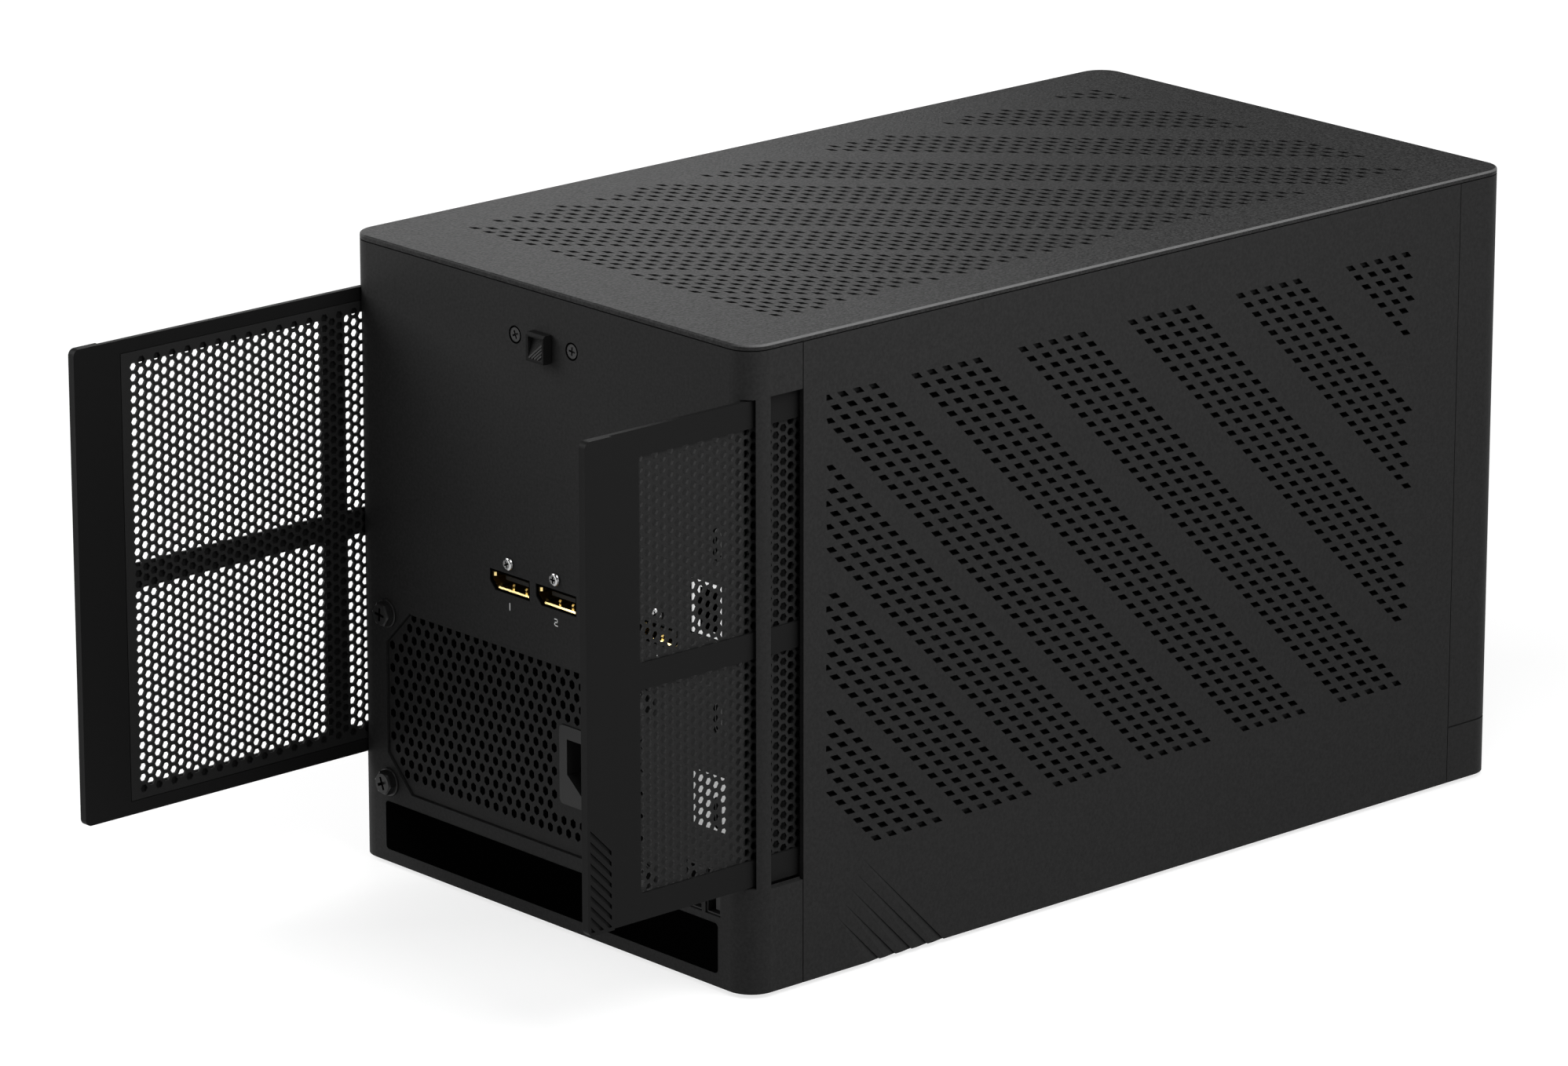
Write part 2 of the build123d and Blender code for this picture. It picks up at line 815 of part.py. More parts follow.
def slider_screws():
    screws = []
    for side in (-1, 1):
        x, z = side * slider_screw_reach, slider_screw_z
        cone = Cone(slider_screw_radius, slider_screw_head, slider_screw_sink)
        head = Pos(x, rear_face + slider_screw_sink / 2, z) * Rot(90, 0, 0) * cone
        shank_y = (rear_face, rear_face + slider_screw_length)
        screws.append(head + rod_y(slider_screw_radius, x, z, shank_y))
    return screws


# Power supply

def psu_case():
    """Open tub with a perforated rear wall, a cut-out for the inlet and one for the outlet block."""
    x = (psu_left, psu_right)
    case = block(x, (rear_inside, psu_front), (psu_bottom, psu_top - psu_sheet))
    case -= block((x[0] + psu_sheet, x[1] - psu_sheet), (rear_inside + psu_sheet, psu_front - psu_sheet),
                  (psu_bottom + psu_sheet, psu_top))
    inlet_hole = Rectangle(inlet_body[0] + 2 * fit_gap, inlet_body[1] + 2 * fit_gap)
    cuts = grille_cells() + [Pos(inlet_x, inlet_z) * inlet_hole]
    cuts += [Pos(px, pz) * Circle(psu_screw_radius + screw_clear) for px, pz in psu_screw_places]
    case -= slab_y(Sketch() + cuts, (rear_inside, rear_inside + psu_sheet))
    outlet = pane(about(psu_x, outlet_width + 2 * fit_gap), about(psu_z, outlet_height + 2 * fit_gap))
    return case - slab_y(outlet, (psu_front - psu_sheet, psu_front))


def grille_cells():
    """Staggered hexagons from the left edge of the window to the inlet."""
    cells = []
    cell = RegularPolygon(grille_hole, 6, rotation=30)
    row_pitch = grille_pitch * sqrt(3) / 2
    rows = int((psu_height - 2 * window_margin_z - 2 * grille_border) / row_pitch) + 1
    left = psu_left + window_margin_x + grille_border
    reach = inlet_x - inlet_flange[0] / 2 - grille_inlet_gap - grille_hole - left
    columns = int(reach / grille_pitch + 0.5)
    for j in range(rows):
        z = psu_z + (j - (rows - 1) / 2) * row_pitch
        cells += [Pos(left + (i + j % 2 / 2) * grille_pitch, z) * cell for i in range(columns)]
    return cells


def psu_fan_centre():
    return psu_x, rear_inside + psu_depth / 2 + psu_fan_y


def psu_lid():
    """Lid with a round fan opening, crossed by a guard that carries the fan's motor and shaft."""
    x, y = psu_fan_centre()
    sheet = pane((psu_left, psu_right), (rear_inside, psu_front)) - Pos(x, y) * Circle(psu_fan_radius)
    bar = Rectangle(2 * psu_fan_radius + psu_fan_guard, psu_fan_guard)
    for turn in (45, 135):
        sheet += Pos(x, y) * Rot(0, 0, turn) * bar
    sheet += Pos(x, y) * Circle(psu_fan_hub)
    lid = slab_z(sheet, (psu_top - psu_sheet, psu_top))
    return lid + rod_z(shaft_radius, x, y, (psu_top - psu_sheet - shaft_depth, psu_top - psu_sheet))


def psu_stand():
    """Folded table that lifts the supply off the floor."""
    x = (psu_left + stand_inset, psu_right - stand_inset)
    y = (rear_inside + stand_inset, psu_front - stand_inset)
    stand = block(x, y, (base_top, psu_bottom))
    inside_x = (x[0] + stand_sheet, x[1] - stand_sheet)
    return stand - block(inside_x, y, (base_top, psu_bottom - stand_sheet))


def psu_screws():
    """Hexagon screws with a washer face, through the rear wall into the supply."""
    screws = []
    for x, z in psu_screw_places:
        washer = psu_screw_head / 4
        screw = rod_y(psu_screw_flange, x, z, (rear_face - washer, rear_face))
        hexagon = Pos(x, z) * RegularPolygon(psu_screw_hex / 2, 6, major_radius=False, rotation=30)
        screw += slab_y(hexagon, (rear_face - psu_screw_head, rear_face - washer))
        screws.append(screw + rod_y(psu_screw_radius, x, z, (rear_face, rear_face + psu_screw_length)))
    return screws


def psu_board():
    """Circuit board on a step of the tub, with its tallest parts."""
    low = psu_bottom + psu_sheet
    x = (psu_left + psu_sheet + psu_board_inset, psu_right - psu_sheet - psu_board_inset)
    inlet_end = rear_inside + inlet_depth + inlet_back
    y = (inlet_end + psu_board_inset, psu_front - psu_sheet - psu_board_inset)
    top = low + psu_board_lift + psu_board_sheet
    board = block(x, y, (top - psu_board_sheet, top))
    middle = (sum(x) / 2, sum(y) / 2)
    can_top = psu_top - psu_sheet - run_gap - psu_fan_depth - psu_can_gap
    core_top = can_top - psu_core_drop
    board += block(about(middle[0], psu_core[0]), about(middle[1], psu_core[1]), (top, core_top))
    for i in range(2):
        can_x = x[0] + psu_can_inset + i * psu_can_pitch
        board += rod_z(psu_can_radius, can_x, middle[1], (top, can_top))
    for px in (x[0] + psu_board_inset, x[1] - psu_board_inset):
        for py in (y[0] + psu_board_inset, y[1] - psu_board_inset):
            board += rod_z(psu_board_inset / 2, px, py, (low, top))
    return board


def psu_outlet():
    """Block of output sockets in the inner end wall of the supply."""
    y = (psu_front - psu_sheet - outlet_reach, psu_front + outlet_reach)
    body = block(about(psu_x, outlet_width), y, about(psu_z, outlet_height))
    flange_x = about(psu_x, outlet_width + 2 * outlet_flange)
    flange_z = about(psu_z, outlet_height + 2 * outlet_flange)
    return body + block(flange_x, (psu_front, psu_front + outlet_flange_sheet), flange_z)


# Mains inlet

def inlet_shape(size, corner):
    return Pos(inlet_x, inlet_z) * chamfered(size[0], size[1], [(-1, -1), (1, -1)], corner)


def power_inlet():
    """Flanged inlet; the mouth has its two lower corners cut off."""
    front = rear_inside - inlet_flange_sheet
    middle = Pos(inlet_x, inlet_z)
    end = front + inlet_depth + inlet_back
    body = slab_y(middle * RectangleRounded(*inlet_flange, inlet_flange_round), (front, rear_inside))
    body += slab_y(middle * Rectangle(*inlet_body), (rear_inside, end))
    return body - slab_y(inlet_shape(inlet_mouth, inlet_corner), (front, front + inlet_depth))


def inlet_pins():
    floor = rear_inside - inlet_flange_sheet + inlet_depth
    y = (floor - pin_length, floor)
    places = [(-pin_pitch, pin_rise), (pin_pitch, pin_rise), (0, -earth_drop)]
    return [block(about(inlet_x + x, pin_width), y, about(inlet_z + z, pin_height)) for x, z in places]


# Graphics card

def video_socket(face_of, x):
    """Drawn shell, open to the rear and closed at its inner end."""
    y = (socket_mouth, socket_mouth + socket_depth)
    shell = slab_y(Pos(x, socket_z) * face_of(0), y)
    return shell - slab_y(Pos(x, socket_z) * face_of(-socket_wall), (y[0], y[1] - socket_wall))


def socket_tongues():
    """Contact tongues inside the video sockets, standing on the closed inner ends."""
    places = [(x, socket_width) for x in socket_places] + [(wide_socket_x, wide_socket_width)]
    y = (socket_mouth + tongue_setback, socket_mouth + socket_depth - socket_wall)
    z = about(socket_z, tongue_sheet)
    return [block(about(x, width - 2 * tongue_side), y, z) for x, width in places]


def card_bracket():
    """Sheet behind the rear wall that the video sockets pass through, with a fold under the board."""
    z = (card_under - bracket_bottom, socket_z + bracket_top)
    face = pane((bracket_left, bracket_right), z) - video_mouths(socket_clear)
    face -= [Pos(x, zz) * Circle(socket_screw_radius) for x, zz in socket_screw_places()]
    return slab_y(face, (rear_inside, rear_inside + bracket_sheet))


def socket_screws():
    screws = []
    for x, z in socket_screw_places():
        head = rod_y(socket_screw_head, x, z, (rear_face - socket_screw_dome, rear_face))
        head = chamfer(head.faces().sort_by(Axis.Y)[0].edges(), socket_screw_dome / 2)
        shank_y = (rear_face, rear_face + socket_screw_length)
        screws.append(head + rod_y(socket_screw_radius, x, z, shank_y))
    return screws


def slot_y():
    return (rear_inside + slot_body_setback, rear_inside + slot_body_setback + slot_body_length)


def card_board():
    """Board with its contact edge reaching into the slot on the interface board."""
    board = pane((card_left, card_right), (card_rear, card_front))
    edge_y = slot_y()
    tip = interface_face - slot_body_height + card_edge_reach
    inset = slot_wall + 2 * fit_gap
    board += pane((card_right, tip), (edge_y[0] + inset, edge_y[1] - inset))
    return slab_z(board, (card_under, card_top))


def card_posts():
    x = (card_left + card_post_inset, card_right - card_post_inset)
    y = (card_rear + card_post_inset + shelf_bay_width, card_front - card_post_inset)
    places = [(x[0], y[0]), (x[0], y[1]), (x[1], y[1]), (sum(x) / 2, y[0])]
    return [rod_z(card_post_radius, px, py, (shelf_top, card_under)) for px, py in places]


def cold_plate():
    plate = block(about(cold_plate_x, cold_plate_size), about(cold_plate_y, cold_plate_size),
                  (card_top, cold_plate_top))
    return chamfer(plate.edges().filter_by(Axis.Z), cold_plate_corner)


def pump():
    body = rod_z(pump_radius, cold_plate_x, cold_plate_y, (cold_plate_top, pump_top))
    body = chamfer(body.faces().sort_by(Axis.Z)[-1].edges(), pump_chamfer)
    return body + [rod_y(hose_radius, x, stub_z, (cold_plate_y, pump_stub_end())) for x in hose_places()]


def pump_stub_end():
    return cold_plate_y + pump_radius + fitting_length


def hose_places():
    return [cold_plate_x + side * hose_spread for side in (-1, 1)]


def card_power_socket():
    y = (card_front - card_power_depth, card_front)
    body = block(about(card_power_x, card_power_width), y, (card_top, card_top + card_power_height))
    mouth_x = about(card_power_x, card_power_width - 2 * card_power_wall)
    mouth_z = about(card_top + card_power_height / 2, card_power_height - 2 * card_power_wall)
    return body - block(mouth_x, (y[1] - card_power_depth / 2, y[1]), mouth_z)


# Interface board

def interface_board():
    y = (rear_inside + 2 * fit_gap, rear_inside + interface_depth)
    return block((interface_face, interface_face + interface_sheet), y, (interface_bottom, interface_top))


def board_posts():
    y = -chassis_end + chassis_rim_rear / 2
    low = interface_bottom + board_post_inset
    places = [(y, low), (y, interface_top - board_post_inset),
              (rear_inside + interface_depth - board_post_inset, low)]
    x = (interface_face + interface_sheet, chassis_in)
    return [rod_x(board_post_radius, py, pz, x) for py, pz in places]


def card_slot():
    middle = card_under + card_sheet / 2
    x = (interface_face - slot_body_height, interface_face)
    y = slot_y()
    body = block(x, y, about(middle, slot_body_width))
    return body - block((x[0], x[0] + slot_groove_depth), (y[0] + slot_wall, y[1] - slot_wall),
                        about(middle, card_sheet + 2 * fit_gap))


def network_socket():
    """Upright network socket with its latch notch towards the middle of the body."""
    y = (port_mouth, port_mouth + network_depth)
    body = slab_y(Pos(network_x, network_z) * Rectangle(network_width, network_height), y)
    x = network_x + network_mouth_offset
    mouth = Pos(x, network_z) * Rectangle(*network_mouth)
    mouth += Pos(x - (network_mouth[0] + network_latch[0]) / 2, network_z) * Rectangle(*network_latch)
    return body - slab_y(mouth, (y[0], y[0] + network_mouth_depth))


def usb_c_socket(z):
    """Oval shell round a thin tongue."""
    y = (port_mouth, port_mouth + usb_c_depth)
    shell = slab_y(usb_c_outline(z, 0), y)
    shell -= slab_y(usb_c_outline(z, -usb_c_wall), (y[0], y[0] + usb_c_mouth_depth))
    return shell + slab_y(Pos(usb_c_x, z) * Rectangle(*usb_c_tongue), (y[0] + usb_tongue_gap, y[1]))


def usb_a_stack():
    """Two upright sockets in one housing, each with a tongue on its far side."""
    y = (port_mouth, port_mouth + usb_a_depth)
    body = block((usb_a_places[-1] - usb_a_width / 2, interface_face), (rear_inside, y[1]),
                 about(usb_a_z, usb_a_tall))
    for x in usb_a_places:
        body += block(about(x, usb_a_width), y, about(usb_a_z, usb_a_tall))
    mouth_end = y[0] + usb_a_mouth_depth
    for x in usb_a_places:
        body -= block(about(x, usb_a_width - 2 * usb_a_wall), (y[0], mouth_end),
                      about(usb_a_z, usb_a_tall - 2 * usb_a_wall))
        tongue_x = x + usb_a_width / 2 - usb_a_wall - usb_tongue_gap - usb_a_tongue[0] / 2
        body += block(about(tongue_x, usb_a_tongue[0]), (y[0] + usb_tongue_gap, mouth_end),
                      about(usb_a_z, usb_a_tongue[1]))
    return body


# Cooling

def fan_screw_places():
    return [(sx * fan_hole, y + sy * fan_hole) for y in fan_centres for sx in (-1, 1) for sy in (-1, 1)]


def fan_screw_sink_cone(x, y):
    cone = Cone(fan_screw_radius, fan_screw_head, fan_screw_sink)
    return Pos(x, y, top_under - fan_screw_sink / 2) * cone


def fan_screws():
    z = (top_under - fan_screw_length, top_under)
    return [fan_screw_sink_cone(x, y) + rod_z(fan_screw_radius, x, y, z) for x, y in fan_screw_places()]


def fan_frame(y):
    """Square frame with a round bore; four struts at the outlet carry the motor boss and shaft."""
    square = Pos(0, y) * RectangleRounded(fan_size, fan_size, corner_radius)
    holes = [Pos(sx * fan_hole, y + sy * fan_hole) * Circle(fan_screw_radius + screw_clear)
             for sx in (-1, 1) for sy in (-1, 1)]
    frame = slab_z(square - holes - Pos(0, y) * Circle(fan_bore), (fan_under, fan_plate_under))
    struts = Pos(0, y) * Circle(fan_hub)
    for turn in (45, 135):
        struts += Pos(0, y) * Rot(0, 0, turn) * Rectangle(2 * fan_bore + 1, fan_strut)
    top = fan_plate_under - fan_strut_sheet
    frame += slab_z(struts, (top, fan_plate_under))
    return frame + rod_z(shaft_radius, 0, y, (top - shaft_depth, top))


def blade(chord, pitch, reach, sheet):
    """Curved plate: a thin arc section at the given pitch, carried out along X."""
    half = chord / 2
    bow = chord / 8
    section = make_face([ThreePointArc((-half, 0), (0, bow), (half, 0)), Line((half, 0), (half, -sheet)),
                         ThreePointArc((half, -sheet), (0, bow - sheet), (-half, -sheet)),
                         Line((-half, -sheet), (-half, 0))])
    return extrude(Plane.YZ * Rot(0, 0, pitch) * section, amount=reach)


def rotor(centre, top, tip, hub, height, blades, chord):
    """Hub with a blind bore from above and curved blades cut to a round tip."""
    x, y = centre
    middle = top - height / 2
    wheel = rod_z(tip, x, y, (top - height, top))
    parts = rod_z(hub, x, y, (top - height, top))
    one = Pos(x, y, middle) * blade(chord, fan_blade_pitch, tip + 1, fan_blade_sheet)
    for i in range(blades):
        parts += (Pos(x, y) * Rot(0, 0, i * 360 / blades) * Pos(-x, -y) * one) & wheel
    bore = shaft_depth + fan_rotor_margin / 2
    return parts - rod_z(shaft_radius + shaft_clear, x, y, (top - bore, top))


def fan_rotor(y):
    top = fan_plate_under - fan_strut_sheet - run_gap
    height = top - fan_under - fan_rotor_margin
    return rotor((0, y), top, fan_bore - fan_tip_gap, fan_hub, height, fan_blades, fan_blade_chord)


def psu_fan_rotor():
    top = psu_top - psu_sheet - run_gap
    tip = psu_fan_radius - fan_tip_gap
    return rotor(psu_fan_centre(), top, tip, psu_fan_hub, psu_fan_depth, fan_blades, psu_fan_chord)


def radiator():
    """Two end tanks joined by side rails and flat tubes, open between them for the air."""
    y = about(0, radiator_length)
    x = about(0, fan_size)
    plan = pane(x, y)
    core_y = (y[0] + radiator_tank, y[1] - radiator_tank)
    span = fan_size - 2 * radiator_rail
    gap = (span - radiator_tubes * radiator_tube) / (radiator_tubes + 1)
    first = x[0] + radiator_rail + gap / 2
    pitch = gap + radiator_tube
    gaps = [pane(about(first + i * pitch, gap), core_y) for i in range(radiator_tubes + 1)]
    return slab_z(plan - gaps, (radiator_under, fan_under))


def fitting_y():
    return radiator_length / 2 - radiator_tank / 2


def hose_fittings():
    return [rod_z(fitting_radius, x, fitting_y(), (radiator_under - fitting_length, radiator_under))
            for x in hose_places()]


def hose(x):
    """Straight run from the pump and one quarter turn up to the radiator."""
    z = stub_z
    turn_y = fitting_y() - hose_bend
    path = Polyline((x, pump_stub_end(), z), (x, turn_y, z))
    path += TangentArc((x, turn_y, z), (x, fitting_y(), z + hose_bend), tangent=(0, 1, 0))
    end = Plane((x, pump_stub_end(), z), x_dir=(1, 0, 0), z_dir=(0, 1, 0))
    return sweep(end * Circle(hose_radius), path=path)


def power_lead():
    """Sleeved lead from the supply's outlet, forward, round a half turn and back into the card."""
    low = psu_z - lead_outlet_drop
    high = card_top + card_power_height / 2
    start = psu_front + outlet_reach
    turn_y = card_front + 2 * lead_radius
    x = card_power_x
    path = Polyline((x, start, low), (x, turn_y, low))
    path += TangentArc((x, turn_y, low), (x, turn_y, high), tangent=(0, 1, 0))
    path += Polyline((x, turn_y, high), (x, card_front, high))
    end = Plane((x, start, low), x_dir=(1, 0, 0), z_dir=(0, 1, 0))
    return sweep(end * Circle(lead_radius), path=path)


def nodes():
    """Every piece by name."""
    right_panel, right_wall = right_side_panel(), right_chassis_wall()
    low, high = lower_channel(), upper_channel()
    pieces = {
        "top_cover": top_cover(), "top_rim": top_rim(),
        "rear_cover": rear_cover(), "front_cover": front_cover(),
        "right_side_panel": right_panel, "left_side_panel": other_side(right_panel),
        "right_chassis_wall": right_wall, "left_chassis_wall": other_side(right_wall),
        "base_plate": base_plate(), "rubber_feet": rubber_feet(),
        "fan_plate": fan_plate(), "mid_shelf": mid_shelf(),
        "right_filter_frame": filter_frame(right_pull), "right_filter_mesh": filter_mesh(right_pull),
        "left_filter_frame": other_side(filter_frame(left_pull)),
        "left_filter_mesh": other_side(filter_mesh(left_pull)),
        "right_lower_channel": low, "right_upper_channel": high,
        "left_lower_channel": other_side(low), "left_upper_channel": other_side(high),
        "release_slider": release_slider(), "slider_bracket": slider_bracket(),
        "slider_screws": slider_screws(), "psu_screws": psu_screws(),
        "psu_case": psu_case(), "psu_lid": psu_lid(), "psu_stand": psu_stand(),
        "psu_board": psu_board(), "psu_outlet": psu_outlet(), "psu_fan_rotor": psu_fan_rotor(),
        "power_inlet": power_inlet(), "inlet_pins": inlet_pins(),
        "card_board": card_board(), "card_posts": card_posts(), "card_bracket": card_bracket(),
        "socket_tongues": socket_tongues(), "socket_screws": socket_screws(),
        "video_socket_wide": video_socket(wide_outline, wide_socket_x),
        "cold_plate": cold_plate(), "pump": pump(), "card_power_socket": card_power_socket(),
        "interface_board": interface_board(), "board_posts": board_posts(), "card_slot": card_slot(),
        "network_socket": network_socket(), "usb_a_stack": usb_a_stack(),
        "usb_c_sockets": [usb_c_socket(z) for z in usb_c_heights],
        "radiator": radiator(), "hose_fittings": hose_fittings(), "fan_screws": fan_screws(),
        "power_lead": power_lead(),
    }
    for i, x in enumerate(socket_places):
        pieces[f"video_socket_{i + 1}"] = video_socket(lambda grow: socket_outline(socket_width, grow), x)
    for name, y in zip(("rear", "front"), fan_centres):
        pieces[f"{name}_fan_frame"] = fan_frame(y)
        pieces[f"{name}_fan_rotor"] = fan_rotor(y)
    for name, x in zip(("supply", "return"), hose_places()):
        pieces[f"{name}_hose"] = hose(x)
    return pieces


os.makedirs("parts", exist_ok=True)
for node_name, shape in nodes().items():
    export_step(Compound(children=shape) if isinstance(shape, list) else shape, f"parts/{node_name}.step")
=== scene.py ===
"""Looks of an external graphics card enclosure: vents, meshes, grille, screws, finishes and studio.

Sizes are millimetres in the enclosure's own frame, and piece() turns them into metres. Those of the
camera, the lamps, the floor and the paint grain are metres."""
import json

import bmesh
import bpy
import numpy as np
from mathutils import Matrix, Vector
from mathutils.geometry import delaunay_2d_cdt


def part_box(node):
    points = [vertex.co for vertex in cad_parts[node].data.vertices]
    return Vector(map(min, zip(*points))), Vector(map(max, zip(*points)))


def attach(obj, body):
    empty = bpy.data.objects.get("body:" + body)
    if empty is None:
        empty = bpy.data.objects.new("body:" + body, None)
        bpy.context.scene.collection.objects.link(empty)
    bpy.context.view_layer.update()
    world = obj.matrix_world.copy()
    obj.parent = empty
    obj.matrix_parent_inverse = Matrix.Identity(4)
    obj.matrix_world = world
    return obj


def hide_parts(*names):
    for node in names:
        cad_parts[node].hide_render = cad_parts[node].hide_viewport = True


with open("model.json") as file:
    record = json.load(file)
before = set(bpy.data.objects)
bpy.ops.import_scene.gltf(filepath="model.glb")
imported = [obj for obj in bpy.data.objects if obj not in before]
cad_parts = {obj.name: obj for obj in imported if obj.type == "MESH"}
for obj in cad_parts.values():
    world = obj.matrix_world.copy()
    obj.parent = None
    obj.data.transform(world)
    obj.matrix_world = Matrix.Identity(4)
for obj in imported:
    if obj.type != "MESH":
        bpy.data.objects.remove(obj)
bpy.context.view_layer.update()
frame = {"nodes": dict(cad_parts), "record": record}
MM = 0.001

# Points nearer than this are one: in a filled outline, and in a copied solid, which is in metres
FILL_REACH = 1e-7
MERGE_REACH = 1e-6

# Corner numbers of a prism's and a bar's faces; one end's corners come first, then the other's
PRISM_FACES = [[0, 1, 2], [5, 4, 3], [0, 3, 4, 1], [1, 4, 5, 2], [2, 5, 3, 0]]
BAR_FACES = [[0, 1, 2, 3], [7, 6, 5, 4], [0, 4, 5, 1], [1, 5, 6, 2], [2, 6, 7, 3], [3, 7, 4, 0]]

# Vents on the sides and the top: bands of slanting holes
BAND_COLUMNS = 5
HOLE_ACROSS = 2.84
HOLE_TALL = 1.68

# Side vents in the panel's (Y, Z)
SIDE_BAND_FIRST = -65.4
SIDE_BAND_GAPS = (11.7, 12.4, 13.2, 16.1, 17.5, 19.7, 20.1, 22.1)
SIDE_COLUMN_PITCH = 5.84
SIDE_ROW_PITCH = 3.384
SIDE_ROW_FIRST = 37.7
SIDE_ROWS = 40
SIDE_FIELD = (-122.2, 110.3)
CLIPPED_LEAST = 0.4

# Slanting steps at the panel's lower rear corner
STEP_COUNT = 5
STEP_FIRST = -101.6
STEP_PITCH = 6.2
STEP_SHORTEST = 17.0
STEP_GROWTH = 4.2
STEP_WIDTH = 4.2
STEP_DEPTH = 0.6

# Top vents in the cover's (X, Y), and the cover's rolled edge with its painted highlight and shade
TOP_BAND_FIRST = 162.4
TOP_BAND_GAPS = (8.9, 10.5, 11.2, 12.3, 12.8, 17.2, 22.4, 24.6, 25.6)
TOP_COLUMN_PITCH = 6.14
TOP_ROW_PITCH = 3.465
TOP_ROW_FIRST = 127.5
TOP_ROWS = 73
TOP_HALF_WIDTH = 66.6
TOP_CORNER = 8.0
TOP_CORNER_STEPS = 12
TOP_ROUND = 0.55
TOP_ROUND_STEPS = 5
TOP_EDGE_HIGHLIGHT = 4.5
TOP_RIM_SHADE = 0.35

# Filter mesh, and the cut edges of the tray frames (angles: flat in radians, sharp in degrees)
MESH_COLUMN_PITCH = 2.75
MESH_ROW_PITCH = 3.2
MESH_HOLE = 1.29
MESH_MARGIN = 3.4
FRAME_EDGE = 0.25
FRAME_EDGE_STEPS = 2
FRAME_FLAT_ANGLE = 0.01
FRAME_SHARP_ANGLE = 40

# Supply grille, in the rear wall's (X, Z)
GRILLE_FIRST = (0.32, 30.04)
GRILLE_PITCH = 4.0
GRILLE_ROW_PITCH = 3.46
GRILLE_ROWS = 15
GRILLE_HALF_COLUMNS = 30
GRILLE_HOLE = 1.5
GRILLE_NARROW = 0.84
GRILLE_SINK = 0.7
GRILLE_GAP = 0.35
GRILLE_EDGE = 0.2
GRILLE_LEAST = 0.9
WINDOW_MARGIN = (5.3, 4.05)
WINDOW_CORNER = 10.7
FLANGE_GAP = 0.12
FLANGE_CORNER = 1.5
CASE_SHEET = 1.0
OUTLET = (70.4, 22.4)

# Screws: (radius, height) from the shank's tip to the head's rim, with the height counted outwards
# from the wall; crosses are (reach, width, depth), and the turns (first, step) are radians. A
# screw's last faces are its cross's twelve walls and floor, and the shank's tip
CASE_SCREW = ((1.65, -7.0), (1.65, 0.0), (4.2, 0.0), (4.2, 0.6), (4.0, 0.75))
CASE_SCREW_FLAT = 3.2
CASE_SCREW_HEX = (0.75, 2.5)
CASE_SCREW_FACE = (2.95, 3.0)
CASE_SCREW_SEAT = 4.2
SOCKET_SCREW = ((1.4, -5.0), (1.4, 0.0), (1.95, 0.0), (1.95, 0.5), (1.8, 0.9), (1.5, 1.15),
                (1.3, 1.22))
SLIDER_SCREW = ((1.3, -6.0), (1.3, -1.1), (2.15, -0.3), (2.15, -0.16), (2.05, -0.08))
SLIDER_SCREW_SEAT = 2.4
SLIDER_SCREW_SHADE_RING = (2.16, 2.62, 0.04)
CASE_CROSS = (2.0, 0.85, 1.2)
SOCKET_CROSS = (1.0, 0.5, 0.8)
SLIDER_CROSS = (1.3, 0.55, 0.7)
SCREW_STEPS = 48
SCREW_TURNS = (0.4, 1.1)
CROSS_FACES = 14

# Slider knob's finger recess, with its ribs and its cheek sheet, both lighter as painted light
KNOB_RISE = 1.65
KNOB_TALL = 8.3
KNOB_WALL = 0.7
KNOB_LIP = 1.1
KNOB_RECESS = 2.0
KNOB_HALF = 3.05
RIB_COUNT = 4
RIB_FIRST = -2.3
RIB_PITCH = 1.2
RIB_HALF = 0.2
RIB_HIGH = 0.28
CHEEK_SHEET = 0.06

# Video sockets: black sheet of painted shade on the rim, turned lower lip, springs at two places
# along the width, and side latch
SOCKETS = ("video_socket_1", "video_socket_2", "video_socket_3", "video_socket_wide")
SOCKET_WALL = 0.4
SOCKET_CORNER = 2.4
SOCKET_SHADE_GROWTH = 0.2
SOCKET_SHADE_SINK = 0.3
SOCKET_SHADE_SHEET = 0.25
LIP_HIGH = 0.42
LIP_SINK = 0.05
SPRING_PLACES = (-1.2, 4.4)
SPRING_DEPTH = 1.7
SPRING_RISE = 1.1
SPRING_TIP = 0.5
SPRING_HALF = 0.42
LATCH_DROP = (1.1, 2.2)

# Network socket's dark lining
LINING_MOUTH = (7.6, 12.0, 13.0)
LINING_OFFSET = 1.0
LINING_SINK = 0.4
LINING_SHEET = 0.2

# Printed places on the rear wall
LABEL = ((-72.8, 5.2), (72.8, 20.0))
LABEL_CORNER = 1.2
LABEL_SHEET = 0.15
LABEL_ROUND = LABEL_SHEET / 3
DIGIT_SIZE = (1.15, 0.95)
DIGIT_STROKE = 0.32
DIGIT_MIDDLE = 92.2
PRINT_SHEET = 0.05
PATCH = ((63.0, 47.4), (76.7, 63.5))
PATCH_CORNER = 0.6
PATCH_SOCKET = (73.0, 52.6)
PATCH_SLOT = (3.7, 9.5)
PATCH_SLOT_FLAT = 0.01

# Socket numbers as strokes (from, to) on a grid one wide and two high
DIGIT_CENTRE = (0.5, 1)
DIGIT_STROKES = (
    (((0.5, 0), (0.5, 2)),),
    (((0, 2), (1, 2)), ((1, 1), (1, 2)), ((0, 1), (1, 1)), ((0, 0), (0, 1)), ((0, 0), (1, 0))),
    (((0, 2), (1, 2)), ((1, 0), (1, 2)), ((0, 1), (1, 1)), ((0, 0), (1, 0))),
    (((0, 1), (0, 2)), ((0, 1), (1, 1)), ((1, 0), (1, 2))),
)

# Paint grain
FINE_DETAIL = 2.0
BROAD_SCALE = 22.0
BROAD_DETAIL = 3.0
NOISE_MIDDLE = 0.5
GRAIN_DARKEST = 0.1
# Strength of the painted shade and highlight that a face's recess value gives
RECESS_SHADE = 0.85

# Camera of the photograph
CAMERA_AZIMUTH = 47.909
CAMERA_ELEVATION = 16.740
CAMERA_ROLL = -0.024
CAMERA_DISTANCE = 2.340921
CAMERA_AIM_HEIGHT = 0.0951345
CAMERA_PAN = (-0.044703, -0.007682)
CAMERA_LENS = 182.307
CAMERA_SENSOR = 36.0

